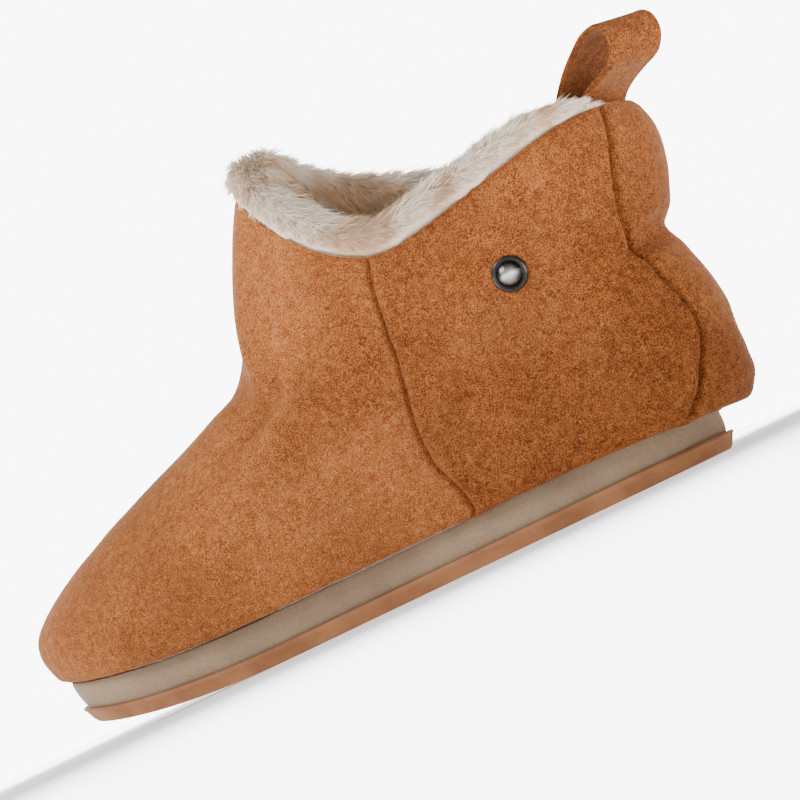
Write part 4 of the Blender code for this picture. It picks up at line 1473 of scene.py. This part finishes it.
    def build(self) -> list[Piece]:
        """The core and three coats of hair.

        Returns:
            All pieces of the collar.
        """
        share = 1.0
        count = int(self.hairs * share / 3)
        return [
            self.core_piece(),
            self.hair_piece("fur_under", count, 101, self.hair_length * 0.75, False),
            self.hair_piece("fur_over", count, 102, self.hair_length, False),
            self.hair_piece("fur_inside", count, 103, self.hair_length * 0.9, True),
        ]


# Pull loop and rivet

# The strap's middle line: back as a share of its reach, up as a share of its rise or, below 0, of its root,
# and leg, which of its two ends it belongs to.
LOOP_PATH = (
    (0.00, -1.00, -1),
    (0.00, 0.00, -1),
    (-0.06, 0.25, -1),
    (0.08, 0.56, 0),
    (0.44, 0.88, 0),
    (0.74, 1.00, 0),
    (0.94, 0.94, 0),
    (1.00, 0.70, 0),
    (0.89, 0.47, 0),
    (0.63, 0.35, 0),
    (0.37, 0.25, 0),
    (0.15, 0.12, 0.3),
    (0.00, -0.08, 1),
    (0.00, -1.00, 1),
)


@dataclass(frozen=True)
class PullLoop:
    """The suede strap folded into a loop over the heel, with its raw edges softly rounded."""

    width: float = 0.025
    thick: float = 0.0022
    legs: float = 0.001
    reach: float = 0.034
    rise: float = 0.024
    root: float = 0.011
    inset: float = 0.0148
    turn: float = 0.6632
    steps: int = 150
    buckle: float = 0.0007

    def place(self, back: Array, across: Array, up: Array) -> Array:
        """A point of the loop: back and across turned with the strap, up above the collar's back edge."""
        top = LAST.shell(np.array(1.0), np.array(1.0), np.array(-1.0))
        c, s = np.cos(self.turn), np.sin(self.turn)
        x = top[0] - self.inset + back * c + across * s
        return np.stack([x, across * c - back * s, top[2] + up + 0 * back], -1)

    def build(self) -> Piece:
        """A rounded flat section, |a|^8 + |b|^2 = 1, carried along the smooth middle line.

        Returns:
            The loop's piece.
        """
        path = np.array(LOOP_PATH)
        back = path[:, 0] * self.reach + path[:, 2] * (self.thick + self.legs) / 2
        up = np.where(path[:, 1] < 0, path[:, 1] * self.root, path[:, 1] * self.rise)
        run = np.concatenate([[0], np.cumsum(np.hypot(np.diff(back), np.diff(up)))])
        at = np.linspace(0, run[-1], self.steps)
        back, up = through(at, run, back), through(at, run, up)
        along = unit(np.stack([np.gradient(back, at), np.gradient(up, at)], 1))
        angle = np.linspace(0, 2 * np.pi, 44, endpoint=False)
        a = np.sign(np.cos(angle)) * np.abs(np.cos(angle)) ** 0.25
        b = np.sin(angle)
        thick = self.thick / 2 * (
            1 + 0.22 * hump(np.abs(a) - 0.86, 0.10) - 0.10 * hump(np.abs(a) - 0.72, 0.05)
        )
        shift = (b * thick)[None, :]
        wave = self.buckle * np.sin(at[:, None] / 0.0085) * (a[None, :] ** 2) * smooth(at[:, None] / 0.02)
        rings = self.place(
            back[:, None] - (shift + wave) * along[:, 1:],
            a[None, :] * self.width / 2 + 0 * back[:, None],
            up[:, None] + (shift + wave) * along[:, :1],
        )
        rings = rings + 0.00012 * random_field(rings, 0.004, 61)[..., None]
        # nearly the darkest flat-nap colour, partly painted shade on the strap at the back
        values = {"flat_nap_and_shade": 0.95 + 0 * rings[..., 0]}
        loop = add_piece("pull_loop_suede", rings, tube_faces(*rings.shape[:2]), SUEDE, values, 60)
        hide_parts("pull_loop")
        return loop


RIVET_PROFILE = (
    # radius, height, as shares of the rivet's own
    (0.97, 0.00),
    (1.00, 0.05),
    (1.00, 0.14),
    (0.97, 0.24),
    (0.91, 0.31),
    (0.84, 0.34),
    (0.79, 0.33),
    (0.755, 0.30),
    (0.735, 0.31),
    (0.70, 0.42),
    (0.66, 0.53),
    (0.58, 0.67),
    (0.48, 0.80),
    (0.36, 0.90),
    (0.24, 0.96),
    (0.12, 0.99),
    (0.03, 1.00),
)


@dataclass(frozen=True)
class Rivet:
    """The press stud's plain cap: a rolled rim round a low dome, turned about the wall's normal."""

    diameter: float = 0.0125
    height: float = 0.0034
    side: float = 0.660
    level: float = 0.714
    gap: float = 0.0003
    sides: int = 72

    def build(self) -> Piece:
        """The profile turned about the outward normal of the wall at its place.

        Returns:
            The rivet's piece.
        """
        u, level, side = np.array(self.side), np.array(self.level), np.array(-1.0)
        middle = LAST.shell(u, level, side)
        along = LAST.shell(u + 0.01, level, side) - middle
        normal = unit(np.cross(along, LAST.shell(u, level + 0.01, side) - middle))
        along = unit(along)
        up = np.cross(normal, along)
        angle = np.linspace(0, 2 * np.pi, self.sides, endpoint=False)[:, None]
        wheel = np.cos(angle) * along + np.sin(angle) * up
        profile = np.array(RIVET_PROFILE)
        radius = profile[:, 0, None, None] * self.diameter / 2
        lift = profile[:, 1, None, None] * self.height + self.gap
        rings = middle + normal * lift + wheel[None] * radius
        # wear and a painted highlight, strongest at the dome's top, with a little wear on the rim's crest
        wear_and_highlight = smooth((0.72 - profile[:, 0]) / 0.5) + 0.30 * hump(profile[:, 0] - 0.93, 0.05)
        values = {"wear_and_highlight": np.repeat(wear_and_highlight * 0.8, self.sides)}
        cap = add_piece("rivet_cap", rings, tube_faces(len(rings), self.sides), METAL, values, 50)
        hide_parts("rivet")
        return cap


# Studio


@dataclass(frozen=True)
class Studio:
    """A pale floor, soft light, and a camera at the photograph's angle to the shoe, stopped at the floor."""

    aim: tuple[float, float, float] = (-0.0195, 0.0, 0.060)
    azimuth: float = 18.09
    elevation: float = -3.6
    roll: float = 25.6
    distance: float = 0.850
    lens: float = 104.2
    shift: tuple[float, float] = (0.0838, 0.0700)
    lights: tuple[tuple[float, float, float, float, float], ...] = (
        # right, up and towards the camera from the aim, size, watts
        (-1.08, 0.42, 0.36, 0.45, 10.0),
        (-0.1, 1.3, 1.5, 1.0, 2.5),
    )
    sky: float = 0.30
    wall_light: float = 9.0
    wall_dim: float = 0.30  # its glow on the sides that the camera doesn't face
    wall_radius: float = 3.0
    wall_height: float = 1.5
    wall_reach: tuple[float, float] = (46.0, 24.0)  # degrees from the view over which it brightens
    floor_light: float = 6.5
    floor_near: float = 0.07  # share of the floor's glow that is left near the shoe
    glow_reach: tuple[float, float] = (0.20, 0.60)

    def axes(self) -> tuple[Array, Array, Array]:
        """The picture's right and up and the direction back to the camera, with the roll applied."""
        a, e, roll = np.radians([self.azimuth, self.elevation, self.roll])
        back = np.array([np.sin(a) * np.cos(e), -np.cos(a) * np.cos(e), np.sin(e)])
        level = np.array([np.cos(a), np.sin(a), 0])
        rise = np.array([-np.sin(a) * np.sin(e), np.cos(a) * np.sin(e), np.cos(e)])
        right = level * np.cos(roll) - rise * np.sin(roll)
        up = level * np.sin(roll) + rise * np.cos(roll)
        return right, up, back

    def turned(self, right: Array, up: Array, back: Array, place: Array) -> Matrix:
        """A matrix with the three axes as columns, at a place."""
        rows = np.eye(4)
        rows[:3] = np.stack([right, up, back, place], 1)
        return Matrix(rows.tolist())

    def build(self) -> None:
        """Makes the camera, the lights, the sky's even light, the floor and the round wall."""
        right, up, back = self.axes()
        aim = np.array(self.aim)
        lens = bpy.data.cameras.new("camera")
        lens.lens = self.lens
        lens.sensor_width = 36
        lens.shift_x, lens.shift_y = self.shift
        lens.clip_start = 0.01
        camera = bpy.data.objects.new("camera", lens)
        bpy.context.scene.collection.objects.link(camera)
        camera.matrix_world = self.turned(right, up, back, aim + self.distance * back)
        bpy.context.scene.camera = camera
        for number, (to_right, to_up, to_camera, size, watts) in enumerate(self.lights):
            lamp = bpy.data.lights.new(f"softbox_{number}", "AREA")
            lamp.size = size
            lamp.energy = watts
            obj = bpy.data.objects.new(lamp.name, lamp)
            bpy.context.scene.collection.objects.link(obj)
            offset = right * to_right + up * to_up + back * to_camera
            away = unit(offset)
            beside = unit(np.cross([0, 0, 1.0], away))
            obj.matrix_world = self.turned(beside, np.cross(away, beside), away, aim + offset)
        world = bpy.data.worlds.new("studio")
        world.use_nodes = True
        world.node_tree.nodes["Background"].inputs["Color"].default_value = (1, 1, 1, 1)
        world.node_tree.nodes["Background"].inputs["Strength"].default_value = self.sky
        bpy.context.scene.world = world
        grid = np.array([[(-6, -6, 0), (6, -6, 0)], [(-6, 6, 0), (6, 6, 0)]], float)
        self.dim_near_shoe(self.paper_sheet("floor", grid, "#F4F4F2", False))
        angle = np.linspace(0, 2 * np.pi, 96, endpoint=False)
        ring = np.stack([np.cos(angle), np.sin(angle), 0 * angle], 1) * self.wall_radius
        grid = np.stack([ring + [0, 0, self.wall_height], ring])
        self.brighten_behind(self.paper_sheet("backdrop", grid, "#000000", True), unit(-back * [1, 1, 0]))

    def brighten_behind(self, sheet: Piece, ahead: Array) -> None:
        """Lets the wall's glow rise towards the side of the room behind the shoe.

        Args:
            sheet: the round wall.
            ahead: the level direction in which the photograph looks.
        """
        tree = sheet.data.materials[0].node_tree
        place = add_node(tree, "TexCoord").outputs["Object"]
        level = add_node(tree, "VectorMath", {"operation": "MULTIPLY", 1: (1, 1, 0)}, {0: place})
        toward = add_node(tree, "VectorMath", {"operation": "NORMALIZE"}, {0: level.outputs["Vector"]})
        share = add_node(
            tree,
            "VectorMath",
            {"operation": "DOT_PRODUCT", 1: tuple(ahead)},
            {0: toward.outputs["Vector"]},
        )
        low, high = np.cos(np.radians(self.wall_reach)).tolist()
        self.glow(tree, share.outputs["Value"], (low, high), (self.wall_dim, self.wall_light))

    def dim_near_shoe(self, sheet: Piece) -> None:
        """Lets the floor's glow rise with the distance from the shoe, so little light comes from below; the
        dim patch round the shoe is also a painted shadow on the floor.
        """
        tree = sheet.data.materials[0].node_tree
        place = add_node(tree, "TexCoord").outputs["Object"]
        far = add_node(tree, "VectorMath", {"operation": "LENGTH"}, {0: place})
        near = self.floor_light * self.floor_near
        self.glow(tree, far.outputs["Value"], self.glow_reach, (near, self.floor_light))

    def glow(
        self, tree: Tree, share: Socket, reach: tuple[float, float], light: tuple[float, float]
    ) -> None:
        """Makes a paper glow from one brightness to another as a value rises.

        Args:
            tree: the paper's node tree.
            share: the value.
            reach: where the rise starts and ends.
            light: the brightness before and after it.
        """
        rise = add_node(
            tree,
            "MapRange",
            {
                "interpolation_type": "SMOOTHSTEP",
                "From Min": reach[0],
                "From Max": reach[1],
                "To Min": light[0],
                "To Max": light[1],
            },
            {"Value": share},
        )
        tree.links.new(rise.outputs["Result"], tree.nodes["Principled BSDF"].inputs["Emission Strength"])

    def paper_sheet(self, name: str, grid: Array, colour: str, closed: bool) -> Piece:
        """A sheet of matt paper that glows, as if lit from outside the picture.

        Args:
            name: the sheet's name.
            grid: its points in rows.
            colour: what it gives back of the light that falls on it.
            closed: whether each row runs all the way round.

        Returns:
            The sheet.
        """
        mesh = bpy.data.meshes.new(name)
        faces = ring_faces(*grid.shape[:2]).tolist() if closed else [(0, 1, 3, 2)]
        mesh.from_pydata(grid.reshape(-1, 3), [], faces)
        mesh.shade_smooth()
        paper = bpy.data.materials.new(f"paper, matt, glowing, {name}")
        paper.use_nodes = True
        shader = paper.node_tree.nodes["Principled BSDF"]
        shader.inputs["Base Color"].default_value = linear(colour)
        shader.inputs["Roughness"].default_value = 0.9
        shader.inputs["Specular IOR Level"].default_value = 0.1
        shader.inputs["Emission Color"].default_value = (1, 1, 1, 1)
        mesh.materials.append(paper)
        sheet = bpy.data.objects.new(name, mesh)
        bpy.context.scene.collection.objects.link(sheet)
        return sheet


def main() -> None:
    """Builds the slipper from the sole up, then the studio."""
    logging.basicConfig(level=logging.INFO, format="%(message)s")
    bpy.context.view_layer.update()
    Outsole().build()
    Band().build()
    Insole().build()
    Upper().build()
    FurCollar().build()
    PullLoop().build()
    Rivet().build()
    Studio().build()
    bpy.context.view_layer.update()


if __name__ == "__main__":
    main()
